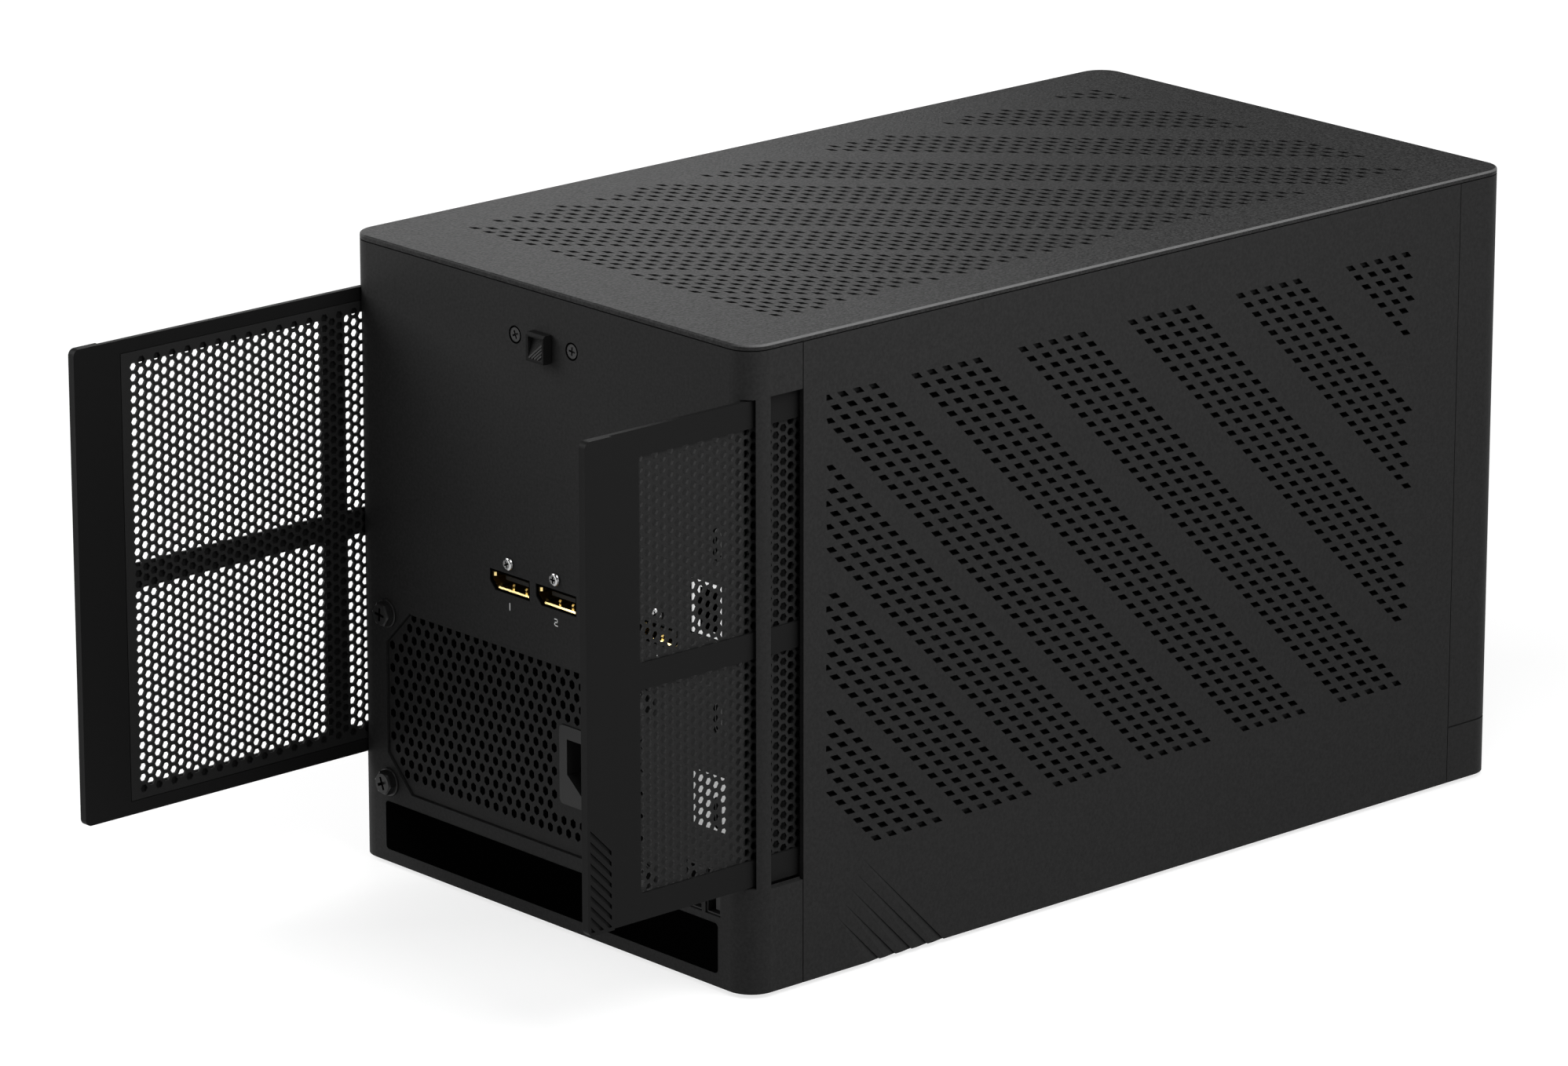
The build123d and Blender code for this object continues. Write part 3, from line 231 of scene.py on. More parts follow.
# Sky, floor and lamps; a lamp is its name, place, side and power in watts
WORLD_LEVEL = 0.12
FLOOR_REACH = 9.0
FLOOR_GREY = 0.4
FLOOR_ROUGHNESS = 0.9
FLOOR_GLOSS = 0.1
FLOOR_LIFT = 0.74
FLOOR_FADE = (0.3, 1.3)
LAMP_AIM = (0.0, 0.0, 0.15)
LAMPS = (
    ("rear_left", (-0.5, -0.5, 0.45), 0.4, 3.4),
    ("rear_low", (-0.2, -0.8, 0.25), 0.4, 1.1),
    ("near_top", (0.34, -0.06, 0.55), 0.4, 2.5),
    ("right_key", (0.7, 0.1, 0.4), 0.4, 0.85),
    ("right_low", (0.8, -0.1, 0.2), 0.4, 0.75),
    ("left_sheen", (-0.9, 0.55, 0.5), 0.4, 1.45),
    ("front_fill", (-0.1, 1.0, 0.4), 0.6, 1.2),
)


# Surfaces

def rounded_outline(low, high, radius, steps=8):
    """Rectangle from low to high with quarter-circle corners, as points and outward normals.

    The points go round anticlockwise. Corner point = arc centre + radius * (cos t, sin t), and the
    normal is that same direction. With no radius the four corners are kept, and their normals are
    the mitre directions."""
    low, high = np.array(low, float), np.array(high, float)
    side = np.array([(1, 1), (-1, 1), (-1, -1), (1, -1)], float)
    if radius <= 0:
        return (low + high) / 2 + side * (high - low) / 2, side
    angle = (np.linspace(0, np.pi / 2, steps + 1) + np.arange(4)[:, None] * np.pi / 2).ravel()
    normal = np.stack([np.cos(angle), np.sin(angle)], 1)
    centre = (low + high) / 2 + np.repeat(side, steps + 1, axis=0) * ((high - low) / 2 - radius)
    return centre + radius * normal, normal


def filled(outline, groups):
    """The holes' points, and the triangles that fill an outline round those holes.

    A group is an array of equal holes (hole, corner, 2). Points are numbered through the outline
    first and then through each group."""
    count = len(outline)
    loops = [list(range(count))]
    for holes in groups:
        numbers = count + np.arange(holes.shape[0] * holes.shape[1])
        loops += numbers.reshape(holes.shape[:2]).tolist()
        count += len(numbers)
    flat = np.vstack([outline, *(holes.reshape(-1, 2) for holes in groups)])
    corners, _, triangles, *_ = delaunay_2d_cdt([Vector(p) for p in flat], [], loops, 2, FILL_REACH)
    if len(corners) != count:
        raise ValueError("two holes touch")
    return flat[len(outline):], np.array(triangles)


def ring_band(count, a, b):
    """Quads between two closed loops of count points, facing away from the inside.

    The loops' numbers start at a and b."""
    ring = np.arange(count)
    ahead = np.roll(ring, -1)
    return np.stack([ring + a, ring + b, ahead + b, ahead + a], 1)


def hole_walls(groups, first, shift):
    """Quads down each hole, from its front loop to its back loop, numbered higher by shift."""
    walls = []
    for holes in groups:
        front = first + np.arange(holes.shape[0] * holes.shape[1]).reshape(holes.shape[:2])
        ahead = np.roll(front, -1, axis=1)
        walls.append(np.stack([front, ahead, ahead + shift, front + shift], -1).reshape(-1, 4))
        first += front.size
    return walls


def listed(blocks):
    """Face arrays of several widths as one list of faces."""
    return [face for block in blocks for face in np.asarray(block).tolist()]


def pierced_sheet(outline, normal, groups, thick, rounding=0.0, steps=3):
    """Flat sheet with holes, as points (u, v, depth) and faces.

    Depth is 0 in front and -thick behind. The front is the outline drawn in by the rounding, filled
    round the holes. The rim is a quarter circle carried round the outline: inset r(1 - sin a),
    depth -r(1 - cos a). The back is the front's triangles turned over, on the full outline. Each
    hole has straight walls."""
    count = len(outline)
    inner, triangles = filled(outline - rounding * normal, groups)
    turn = np.linspace(0, np.pi / 2, steps + 1) if rounding > 0 else np.array([np.pi / 2])
    rim = [np.column_stack([outline - rounding * (1 - np.sin(a)) * normal,
                            np.full(count, rounding * (np.cos(a) - 1))]) for a in turn]
    rim.append(np.column_stack([outline, np.full(count, -thick)]))
    behind = count * (len(rim) - 1)
    inside = [np.column_stack([inner, np.full(len(inner), d)]) for d in (0.0, -thick)]
    points = np.vstack(rim + inside)
    front = np.where(triangles < count, triangles, triangles + behind)
    back = np.where(triangles < count, triangles + behind, triangles + behind + len(inner))
    bands = [ring_band(count, i * count, (i + 1) * count) for i in range(len(rim) - 1)]
    walls = hole_walls(groups, count + behind, len(inner))
    return points, listed([front, back[:, ::-1], *bands, *walls])


def stepped_sheet(low, high, groups, thick):
    """Flat sheet whose lower edge opens into slanting steps, as points (u, v, depth) and faces.

    Step i starts at the lower edge between foot - width and foot, and its two sides meet in a tip
    that lies length back and length up. One side is a wall that is deep at the foot and fades out
    to the tip; the floor slopes from the wall's lower line up to the other side."""
    foot = STEP_FIRST + STEP_PITCH * np.arange(STEP_COUNT)
    length = STEP_SHORTEST + STEP_GROWTH * np.arange(STEP_COUNT)
    edge = np.full(STEP_COUNT, low[1])
    notch = np.stack([np.stack([foot - STEP_WIDTH, edge], 1),
                      np.stack([foot - length, edge + length], 1),
                      np.stack([foot, edge], 1)], 1)
    outline = np.vstack([[low], notch.reshape(-1, 2), [(high[0], low[1]), high, (low[0], high[1])]])
    plain = np.array([low, (high[0], low[1]), high, (low[0], high[1])])
    inner, front = filled(outline, groups)
    back = filled(plain, groups)[1]
    deep = np.column_stack([foot, edge, np.full(STEP_COUNT, -STEP_DEPTH)])
    points = np.vstack([np.column_stack([outline, np.zeros(len(outline))]),
                        np.column_stack([inner, np.zeros(len(inner))]),
                        np.column_stack([plain, np.full(len(plain), -thick)]),
                        np.column_stack([inner, np.full(len(inner), -thick)]), deep])
    last = len(outline)
    behind = last + len(inner)
    floor = behind + len(plain) + len(inner)
    open_side = 1 + 3 * np.arange(STEP_COUNT)
    bottom = floor + np.arange(STEP_COUNT)
    steps = np.stack([open_side, bottom, open_side + 1], 1)
    walls = np.stack([open_side + 2, open_side + 1, bottom], 1)
    lower_edge = np.stack([open_side, bottom, open_side + 2], 1).ravel()
    under = [[0, behind, behind + 1, last - 3, *lower_edge[::-1].tolist()]]
    sides = [[last - 3, behind + 1, behind + 2, last - 2],
             [last - 2, behind + 2, behind + 3, last - 1],
             [last - 1, behind + 3, behind, 0]]
    back = back + behind
    plain_faces = listed([front, back[:, ::-1], steps, walls, sides]) + under
    return points, plain_faces + listed(hole_walls(groups, last, len(inner) + len(plain)))


def screw(profile, cross, hexagon=None):
    """Screw as (u, v, height), skinned over rings from the shank's tip to the head's face.

    The profile gives each ring's (radius, height). A hexagon (half width across flats, low, high,
    (face radius, top)) adds three more. The first two, at low and high, have
    radius = half width / cos(angle to the middle of the nearest flat). In the third, at the top,
    that radius is cut off at the face's. The face is filled round a cross recess with upright walls
    and a flat floor."""
    angle = np.arange(SCREW_STEPS) * 2 * np.pi / SCREW_STEPS
    levels = list(profile)
    if hexagon:
        half, low, high, (face, top) = hexagon
        radius = half / np.cos((angle + np.pi / 6) % (np.pi / 3) - np.pi / 6)
        levels += [(radius, low), (radius, high), (np.minimum(radius, face), top)]
    rings = [np.column_stack([r * np.cos(angle), r * np.sin(angle), np.full(SCREW_STEPS, h)])
             for r, h in levels]
    reach, width, depth = cross
    arm = np.array([(reach, -width / 2), (reach, width / 2), (width / 2, width / 2)])
    turns = [np.linalg.matrix_power(np.array([(0, 1), (-1, 0)]), k) for k in range(4)]
    recess = np.vstack([arm @ turn for turn in turns])[None]
    inner, triangles = filled(rings[-1][:, :2], [recess])
    top = rings[-1][0, 2]
    inside = [np.column_stack([inner, np.full(len(inner), top - d)]) for d in (0.0, depth)]
    points = np.vstack(rings + inside)
    last = SCREW_STEPS * (len(rings) - 1)
    skin = [ring_band(SCREW_STEPS, (i + 1) * SCREW_STEPS, i * SCREW_STEPS)
            for i in range(len(rings) - 1)]
    first = SCREW_STEPS * len(rings)
    walls = hole_walls([recess], first, len(inner))
    floor = [(first + len(inner) + np.arange(len(inner))).tolist()]
    tip = [np.arange(SCREW_STEPS)[::-1].tolist()]
    return points, listed([triangles + last, *skin, *walls]) + floor + tip


def facing_up(points, height):
    """Sheet laid with its front up: (u, v, depth) becomes (X, Y, Z)."""
    return np.column_stack([points[:, 0], points[:, 1], height + points[:, 2]])


def facing_right(points, x):
    """Sheet with its front towards +X: (u, v, depth) becomes (Y, Z, X)."""
    return np.column_stack([x + points[:, 2], points[:, 0], points[:, 1]])


def facing_rear(points, y, at=(0.0, 0.0)):
    """Sheet with its front towards -Y: (u, v) becomes (X, Z), moved by at; depth goes along +Y."""
    return np.column_stack([points[:, 0] + at[0], y - points[:, 2], points[:, 1] + at[1]])


def left_hand(points, faces):
    """The same piece on the left: X changes sign and every face is turned over."""
    return points * (-1, 1, 1), [f[::-1] for f in faces]


def joined(*parts):
    """Several point and face lists as one."""
    points, faces, base = [], [], 0
    for p, f in parts:
        points.append(p)
        faces += [[i + base for i in face] for face in f]
        base += len(p)
    return np.vstack(points), faces


def brick(low, high):
    """Closed box between two corners."""
    corner = np.indices((2, 2, 2)).reshape(3, -1).T
    faces = [(0, 1, 3, 2), (4, 6, 7, 5), (0, 4, 5, 1), (2, 3, 7, 6), (0, 2, 6, 4), (1, 5, 7, 3)]
    return np.array(low) + corner * (np.array(high) - low), [list(f) for f in faces]


def last_faces(faces, number, copies=1):
    """One for the last faces of each copy and nothing for the others."""
    each = len(faces) // copies
    return np.tile(np.arange(each) >= each - number, copies).astype(np.float32)


def piece(name, shape, finish, body, replaces=(), recess=None):
    """New object in the enclosure's frame; shape is points in millimetres and faces.

    Recess is a value for each face of painted light: one paints a hole's shade into the
    colour, and less than nothing paints a highlight."""
    points, faces = shape
    mesh = bpy.data.meshes.new(name)
    mesh.from_pydata((np.asarray(points) * MM).tolist(), [], faces)
    if recess is not None:
        mesh.attributes.new("recess", "FLOAT", "FACE").data.foreach_set("value", recess)
    mesh.validate()
    return placed(mesh, finish, body, replaces)


def placed(mesh, finish, body, replaces=()):
    """Object for a finished mesh: painted, on its body, in place of the solids it stands for."""
    mesh.materials.append(FINISHES[finish])
    obj = bpy.data.objects.new(mesh.name, mesh)
    bpy.context.scene.collection.objects.link(obj)
    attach(obj, body)
    if replaces:
        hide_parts(*replaces)
    return obj


def limits(node):
    """Lowest and highest corner of a solid, in millimetres."""
    low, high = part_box(node)
    return np.array(low) / MM, np.array(high) / MM


# Hole patterns

def slanted(centres, lean):
    """Parallelogram round each centre: level edges, and sides that go across by lean for one up."""
    across = np.array([-1, 1, 1, -1]) * HOLE_ACROSS / 2
    up = np.array([-1, -1, 1, 1]) * HOLE_TALL / 2
    return centres[:, None, :] + np.stack([across + lean * up, up], 1)


def band_columns(first, gaps, pitch, direction):
    """Places of every column: equal steps inside a band, then that band's gap to the next."""
    width = (BAND_COLUMNS - 1) * pitch
    starts = first + direction * np.concatenate([[0], np.cumsum(np.array(gaps) + width)])
    return (starts[:, None] + np.arange(BAND_COLUMNS) * pitch).ravel()


def side_holes():
    """Grid of columns (Y + Z constant) and rows inside the field, clipped at its rear edge."""
    column = band_columns(SIDE_BAND_FIRST, SIDE_BAND_GAPS, SIDE_COLUMN_PITCH, 1)
    z = SIDE_ROW_FIRST + SIDE_ROW_PITCH * np.arange(SIDE_ROWS)
    y = column[:, None] - z
    centres = np.stack([y, np.broadcast_to(z, y.shape)], -1).reshape(-1, 2)
    holes = slanted(centres, -1)
    reaches_in = holes[:, 2, 0] > SIDE_FIELD[0] + CLIPPED_LEAST
    holes = holes[reaches_in & (centres[:, 0] < SIDE_FIELD[1])]
    holes[..., 0] = np.maximum(holes[..., 0], SIDE_FIELD[0])
    return holes


def top_holes():
    """Grid of columns (X - Y constant) and rows, kept inside the field's width."""
    column = band_columns(TOP_BAND_FIRST, TOP_BAND_GAPS, TOP_COLUMN_PITCH, -1)
    y = TOP_ROW_FIRST - TOP_ROW_PITCH * np.arange(TOP_ROWS)
    x = column[:, None] + y
    centres = np.stack([x, np.broadcast_to(y, x.shape)], -1).reshape(-1, 2)
    return slanted(centres[np.abs(centres[:, 0]) < TOP_HALF_WIDTH], 1)


def hexagons(low, high, across, up, radius):
    """Staggered grid of hexagons: every second column is half a step higher than its neighbours."""
    columns = int((high[0] - low[0]) / across) + 1
    rows = int((high[1] - low[1]) / up) + 1
    i, j = np.meshgrid(np.arange(columns), np.arange(rows), indexing="ij")
    u = (low[0] + high[0]) / 2 + (i - (columns - 1) / 2) * across
    v = (low[1] + high[1]) / 2 + (j - (rows - 1) / 2 + (i % 2) / 2 - 0.25) * up
    return ngons(np.stack([u.ravel(), v.ravel()], 1), radius, 6)


def ngons(centres, radius, sides, turn=0.0):
    """Regular polygons round their centres: centre + radius * (cos, sin) of equal angles."""
    angle = np.arange(sides) * 2 * np.pi / sides + turn
    return np.asarray(centres)[:, None, :] + radius * np.stack([np.cos(angle), np.sin(angle)], 1)


def supply_window(inset):
    """Outline of the supply's window, drawn in by an inset: a rectangle with cut corners.

    It goes anticlockwise from the right. Drawing in by d shortens each cut by d * (2 - sqrt 2)."""
    low, high = (v[[0, 2]] for v in limits("psu_case"))
    high = high + (0, CASE_SHEET)
    x, z = (high - low) / 2 - WINDOW_MARGIN - inset
    cut = WINDOW_CORNER - inset * (2 - np.sqrt(2))
    corner = np.array([(x, z - cut), (x - cut, z)])
    turned = [corner, corner[::-1] * (-1, 1), -corner, corner[::-1] * (1, -1)]
    return (low + high) / 2 + np.vstack(turned)


def grille_holes():
    """Rows of pointed hexagons in the supply's window, every second row moved by half a step.

    Holes whose middle is inside the window, and which are clear of the inlet's flange, are kept. A
    corner beyond the window's border is moved back square to it: first level or upright, then along
    the diagonal by half its excess."""
    row = np.arange(GRILLE_ROWS)
    column = np.arange(-GRILLE_HALF_COLUMNS, GRILLE_HALF_COLUMNS)[:, None]
    x = GRILLE_FIRST[0] + GRILLE_PITCH * (column + (row % 2) / 2)
    z = np.broadcast_to(GRILLE_FIRST[1] + GRILLE_ROW_PITCH * row, x.shape)
    centres = np.stack([x, z], -1).reshape(-1, 2)
    cells = centres[:, None] + ngons([(0, 0)], GRILLE_HOLE, 6, np.pi / 2) * (GRILLE_NARROW, 1)
    border = supply_window(GRILLE_GAP + GRILLE_EDGE)
    middle = border.mean(0)
    half = np.abs(border - middle).max(0)
    reach = np.abs(border - middle).sum(1).max()
    off = np.abs(cells.mean(1) - middle)
    inside = (off < half - (GRILLE_LEAST, 0)).all(1) & (off.sum(1) < reach - GRILLE_LEAST)
    low, high = (v[[0, 2]] for v in limits("power_inlet"))
    gap = FLANGE_GAP + GRILLE_EDGE
    clear = ((cells.max(1) < low - gap) | (cells.min(1) > high + gap)).any(1)
    place = np.clip(cells[inside & clear] - middle, -half, half)
    excess = np.maximum(np.abs(place).sum(-1, keepdims=True) - reach, 0)
    return middle + place - np.sign(place) * excess / 2


# Finishes

def new_group(name, inputs, outputs):
    """Empty shader group with its sockets; inputs and outputs are (name, kind)."""
    group = bpy.data.node_groups.new(name, "ShaderNodeTree")
    for direction, sockets in (("INPUT", inputs), ("OUTPUT", outputs)):
        for label, kind in sockets:
            group.interface.new_socket(label, in_out=direction, socket_type="NodeSocket" + kind)
    return group, group.nodes.new("NodeGroupInput"), group.nodes.new("NodeGroupOutput")


def math_node(tree, operation, a, b=None):
    """Math node on two sockets or numbers."""
    node = tree.nodes.new("ShaderNodeMath")
    node.operation = operation
    for slot, value in zip(node.inputs, (a, b)):
        if isinstance(value, bpy.types.NodeSocket):
            tree.links.new(value, slot)
        elif value is not None:
            slot.default_value = value
    return node.outputs[0]


def noise_node(tree, vector, scale, detail):
    """Noise on a coordinate, its scale from a socket or a number."""
    node = tree.nodes.new("ShaderNodeTexNoise")
    node.inputs["Detail"].default_value = detail
    tree.links.new(vector, node.inputs["Vector"])
    if isinstance(scale, bpy.types.NodeSocket):
        tree.links.new(scale, node.inputs["Scale"])
    else:
        node.inputs["Scale"].default_value = scale
    return node.outputs["Fac"]


def grain_and_painted_light():
    """Sprayed or moulded grain: fine noise for specks and height, broad noise for slow drift.

    Where a face has a recess value, the specks and the height fade out and the colour
    takes painted light: painted shade for positive values, a painted highlight for negative ones."""
    group, given, put = new_group(
        "grain_and_painted_light",
        [("Color", "Color"), ("Roughness", "Float"), ("Grain", "Float"), ("Speck", "Float"),
         ("Drift", "Float")],
        [("Color", "Color"), ("Roughness", "Float"), ("Height", "Float")])
    place = group.nodes.new("ShaderNodeTexCoord").outputs["Object"]
    fine = noise_node(group, place, given.outputs["Grain"], FINE_DETAIL)
    broad = noise_node(group, place, BROAD_SCALE, BROAD_DETAIL)
    recess = group.nodes.new("ShaderNodeAttribute")
    recess.attribute_name = "recess"
    mark = recess.outputs["Fac"]
    marked = math_node(group, "ABSOLUTE", mark)
    plain = math_node(group, "MAXIMUM", math_node(group, "SUBTRACT", 1.0, marked), 0.0)
    fine_change = math_node(group, "SUBTRACT", fine, NOISE_MIDDLE)
    fleck = math_node(group, "MULTIPLY", fine_change, given.outputs["Speck"])
    speck = math_node(group, "MULTIPLY", fleck, plain)
    broad_change = math_node(group, "SUBTRACT", broad, NOISE_MIDDLE)
    drift = math_node(group, "MULTIPLY", broad_change, given.outputs["Drift"])
    change = math_node(group, "ADD", speck, drift)
    grainy = math_node(group, "MAXIMUM", math_node(group, "ADD", change, 1.0), GRAIN_DARKEST)
    # Painted shade for a positive recess value, a painted highlight for a negative one
    painted_light = math_node(group, "SUBTRACT", 1.0, math_node(group, "MULTIPLY", mark, RECESS_SHADE))
    tone = math_node(group, "MULTIPLY", grainy, painted_light)
    tint = group.nodes.new("ShaderNodeVectorMath")
    tint.operation = "SCALE"
    group.links.new(given.outputs["Color"], tint.inputs[0])
    group.links.new(tone, tint.inputs["Scale"])
    group.links.new(tint.outputs[0], put.inputs["Color"])
    rough = math_node(group, "SUBTRACT", given.outputs["Roughness"], drift)
    group.links.new(rough, put.inputs["Roughness"])
    group.links.new(math_node(group, "MULTIPLY", fine, plain), put.inputs["Height"])
    return group


def finish(name, color, roughness, grain, speck, drift, depth, metallic=0.0, specular=0.5):
    """Principled material whose colour, roughness and height come from the group of grain and
    painted light.
    """
    material = bpy.data.materials.new(name)
    material.use_nodes = True
    tree = material.node_tree
    shader = tree.nodes["Principled BSDF"]
    shader.inputs["Metallic"].default_value = metallic
    shader.inputs["Specular IOR Level"].default_value = specular
    group = tree.nodes.new("ShaderNodeGroup")
    group.node_tree = GRAIN_AND_PAINTED_LIGHT
    values = {"Color": (*color, 1), "Roughness": roughness, "Grain": grain, "Speck": speck,
              "Drift": drift}
    for label, value in values.items():
        group.inputs[label].default_value = value
    bump = tree.nodes.new("ShaderNodeBump")
    bump.inputs["Strength"].default_value = 1.0
    bump.inputs["Distance"].default_value = depth
    tree.links.new(group.outputs["Color"], shader.inputs["Base Color"])
    tree.links.new(group.outputs["Roughness"], shader.inputs["Roughness"])
    tree.links.new(group.outputs["Height"], bump.inputs["Height"])
    tree.links.new(bump.outputs["Normal"], shader.inputs["Normal"])
    return material


def grey(level):
    """Colour without a tint."""
    return (level, level, level)


GRAIN_AND_PAINTED_LIGHT = grain_and_painted_light()

# A finish is its material, colour and roughness, then the grain's scale, specks, drift and height
FINISHES = {
    "shell": finish("shell_paint", grey(0.0228), 0.55, 1100, 0.7, 0.02, 0.00004, specular=0.05),
    # Lighter than the side paint though it is the same paint: painted light on the top
    "top_shell": finish("top_paint_with_painted_light", grey(0.029), 0.5, 1300, 3.5, 0.02, 0.00012, specular=0.08),
    # Darker than the body paint: painted shade on the inner parts seen through the vents
    "chassis": finish("chassis_paint_with_painted_shade", grey(0.012), 0.55, 2000, 0.2, 0.15, 0.00003, specular=0.1),
    "supply": finish("supply_paint", grey(0.02), 0.5, 2000, 0.5, 0.05, 0.00004, specular=0.05),
    "filter": finish("filter_moulding", grey(0.0095), 0.5, 3000, 0.15, 0.04, 0.00002,
                     specular=0.05),
    "mesh": finish("mesh_sheet", grey(0.0195), 0.5, 3000, 0.2, 0.04, 0.00001, specular=0.06),
    "moulding": finish("black_moulding", grey(0.014), 0.45, 2400, 0.2, 0.05, 0.00003, specular=0.2),
    # Lighter than the black moulding: painted highlight on the knob's ribs, painted bounced light
    # on its cheek
    "painted_light_moulding": finish("moulding_with_painted_light", grey(0.03), 0.5, 2400, 0.2, 0.05, 0.00002, specular=0.1),
    "rubber": finish("foot_rubber", grey(0.02), 0.75, 1800, 0.3, 0.2, 0.00006, specular=0.2),
    "dark_screw": finish("blackened_steel", grey(0.012), 0.38, 1500, 0.4, 0.3, 0.00002,
                         specular=0.25),
    "grey_screw": finish("phosphated_steel", grey(0.042), 0.45, 1500, 0.4, 0.2, 0.00002,
                         specular=0.2),
    "bright_screw": finish("bright_steel", grey(0.42), 0.22, 1500, 0.15, 0.2, 0.00001,
                           metallic=1.0),
    "gold": finish("gold_plate", (0.86, 0.66, 0.28), 0.2, 900, 0.1, 0.15, 0.00001, metallic=1.0),
    "port": finish("port_shell", grey(0.7), 0.3, 1200, 0.15, 0.2, 0.00001, metallic=1.0),
    # Darker copy of the port metal, for the USB-C sockets behind the tray mesh: painted shade
    "shaded_port": finish("shaded_port_shell", grey(0.09), 0.35, 1200, 0.15, 0.2, 0.00001,
                        metallic=1.0),
    "board": finish("circuit_board", (0.015, 0.028, 0.02), 0.4, 700, 0.4, 0.3, 0.00002),
    "copper": finish("copper_block", (0.78, 0.36, 0.22), 0.3, 700, 0.15, 0.2, 0.00001,
                     metallic=1.0),
    "radiator": finish("radiator_paint", grey(0.018), 0.5, 1500, 0.2, 0.15, 0.00003, specular=0.2),
    # Also the black of sheets that stand for shade: over the video socket rims and round the slider
    # screws
    "label": finish("label_film", grey(0.001), 0.4, 300, 0.1, 0.1, 0.000002, specular=0.0),
    "print": finish("white_print", grey(0.75), 0.6, 1800, 0.08, 0.06, 0.00001),
}


# Fine pieces, in place of coarse solids or added to them

def add_side_panels():
    """Vented sheets with slanting steps at the lower rear corner, their hole walls in painted
    shade.
    """
    low, high = limits("right_side_panel")
    holes = side_holes()
    points, faces = stepped_sheet(low[1:], high[1:], [holes], high[0] - low[0])
    right = facing_right(points, high[0]), faces
    left = left_hand(*right)
    recess = last_faces(faces, holes.shape[0] * holes.shape[1])
    piece("right_side_sheet", right, "shell", "enclosure", ["right_side_panel"], recess=recess)
    piece("left_side_sheet", left, "shell", "enclosure", ["left_side_panel"], recess=recess)


def add_top_cover():
    """Vented plate with rounded corners and a rolled upper edge.

    The edge has a painted highlight at the sides and painted shade at the ends, and the hole walls
    hold painted shade.
    """
    low, high = limits("top_cover")
    outline, normal = rounded_outline(low[:2], high[:2], TOP_CORNER, TOP_CORNER_STEPS)
    holes = top_holes()
    points, faces = pierced_sheet(outline, normal, [holes], high[2] - low[2],
                                  TOP_ROUND, TOP_ROUND_STEPS)
    hole_faces = holes.shape[0] * holes.shape[1]
    # Painted shade on the hole walls, the rim and the edge's ends, and a painted highlight on the
    # side edges
    recess = last_faces(faces, hole_faces)
    walls = len(faces) - hole_faces
    upright = walls - len(outline)
    rolled = upright - len(outline) * TOP_ROUND_STEPS
    edge = TOP_RIM_SHADE * np.abs(normal[:, 1]) - TOP_EDGE_HIGHLIGHT * np.abs(normal[:, 0])
    recess[rolled:upright] = np.tile(edge, TOP_ROUND_STEPS)
    recess[upright:walls] = TOP_RIM_SHADE
    shape = facing_up(points, high[2]), faces
    piece("top_sheet", shape, "top_shell", "enclosure", ["top_cover"], recess=recess)


def add_filter_frames():
    """Copies of the tray frames: corners merged, flat faces joined up, and every sharp edge cut."""
    for side in ("right", "left"):
        node = f"{side}_filter_frame"
        shape = bmesh.new()
        shape.from_mesh(frame["nodes"][node].data)
        bmesh.ops.remove_doubles(shape, verts=shape.verts, dist=MERGE_REACH)
        bmesh.ops.dissolve_limit(shape, angle_limit=FRAME_FLAT_ANGLE, verts=shape.verts,
                                 edges=shape.edges)
        mesh = bpy.data.meshes.new(f"{side}_frame_cut")
        shape.to_mesh(mesh)
        shape.free()
        mesh.shade_flat()
        obj = placed(mesh, "filter", f"{side}_filter", [node])
        cut = obj.modifiers.new("edges", "BEVEL")
        cut.width = FRAME_EDGE * MM
        cut.segments = FRAME_EDGE_STEPS
        cut.limit_method = "ANGLE"
        cut.angle_limit = np.radians(FRAME_SHARP_ANGLE)


def add_filter_meshes():
    """Fine hexagonal mesh over the whole pocket of each tray, bars included."""
    for side in ("right", "left"):
        low, high = limits(f"{side}_filter_mesh")
        outline, normal = rounded_outline(low[1:], high[1:], 0)
        cells = hexagons(low[1:] + MESH_MARGIN, high[1:] - MESH_MARGIN,
                         MESH_COLUMN_PITCH, MESH_ROW_PITCH, MESH_HOLE)
        points, faces = pierced_sheet(outline, normal, [cells], high[0] - low[0])
        shape = facing_right(points, np.abs([low[0], high[0]]).max()), faces
        if side == "left":
            shape = left_hand(*shape)
        piece(f"{side}_mesh_sheet", shape, "mesh", f"{side}_filter", [f"{side}_filter_mesh"])


def add_supply_case():
    """Tub of thin walls: the rear one open at the window, the inner one open for the outlet."""
    low, high = limits("psu_case")
    sheet = CASE_SHEET
    outline, normal = rounded_outline(low[[0, 2]], high[[0, 2]], 0)
    points, faces = pierced_sheet(outline, normal, [supply_window(0.0)[None]], sheet)
    rear = facing_rear(points, low[1]), faces
    behind = low[1] + sheet
    middle = ((low + high) / 2)[[0, 2]]
    half = np.array(OUTLET) / 2
    opening = np.array([middle - half, middle + half])
    opening[:, 1] += sheet / 2
    points, faces = pierced_sheet(outline, normal, [rounded_outline(*opening, 0)[0][None]], sheet)
    inner = facing_rear(points, high[1] - sheet), faces
    floor = brick((low[0], behind, low[2]), (high[0], high[1] - sheet, low[2] + sheet))
    walls = [brick((x, behind, low[2] + sheet), (x + sheet, high[1] - sheet, high[2]))
             for x in (low[0], high[0] - sheet)]
    piece("supply_tub", joined(rear, inner, floor, *walls), "supply", "enclosure", ["psu_case"])


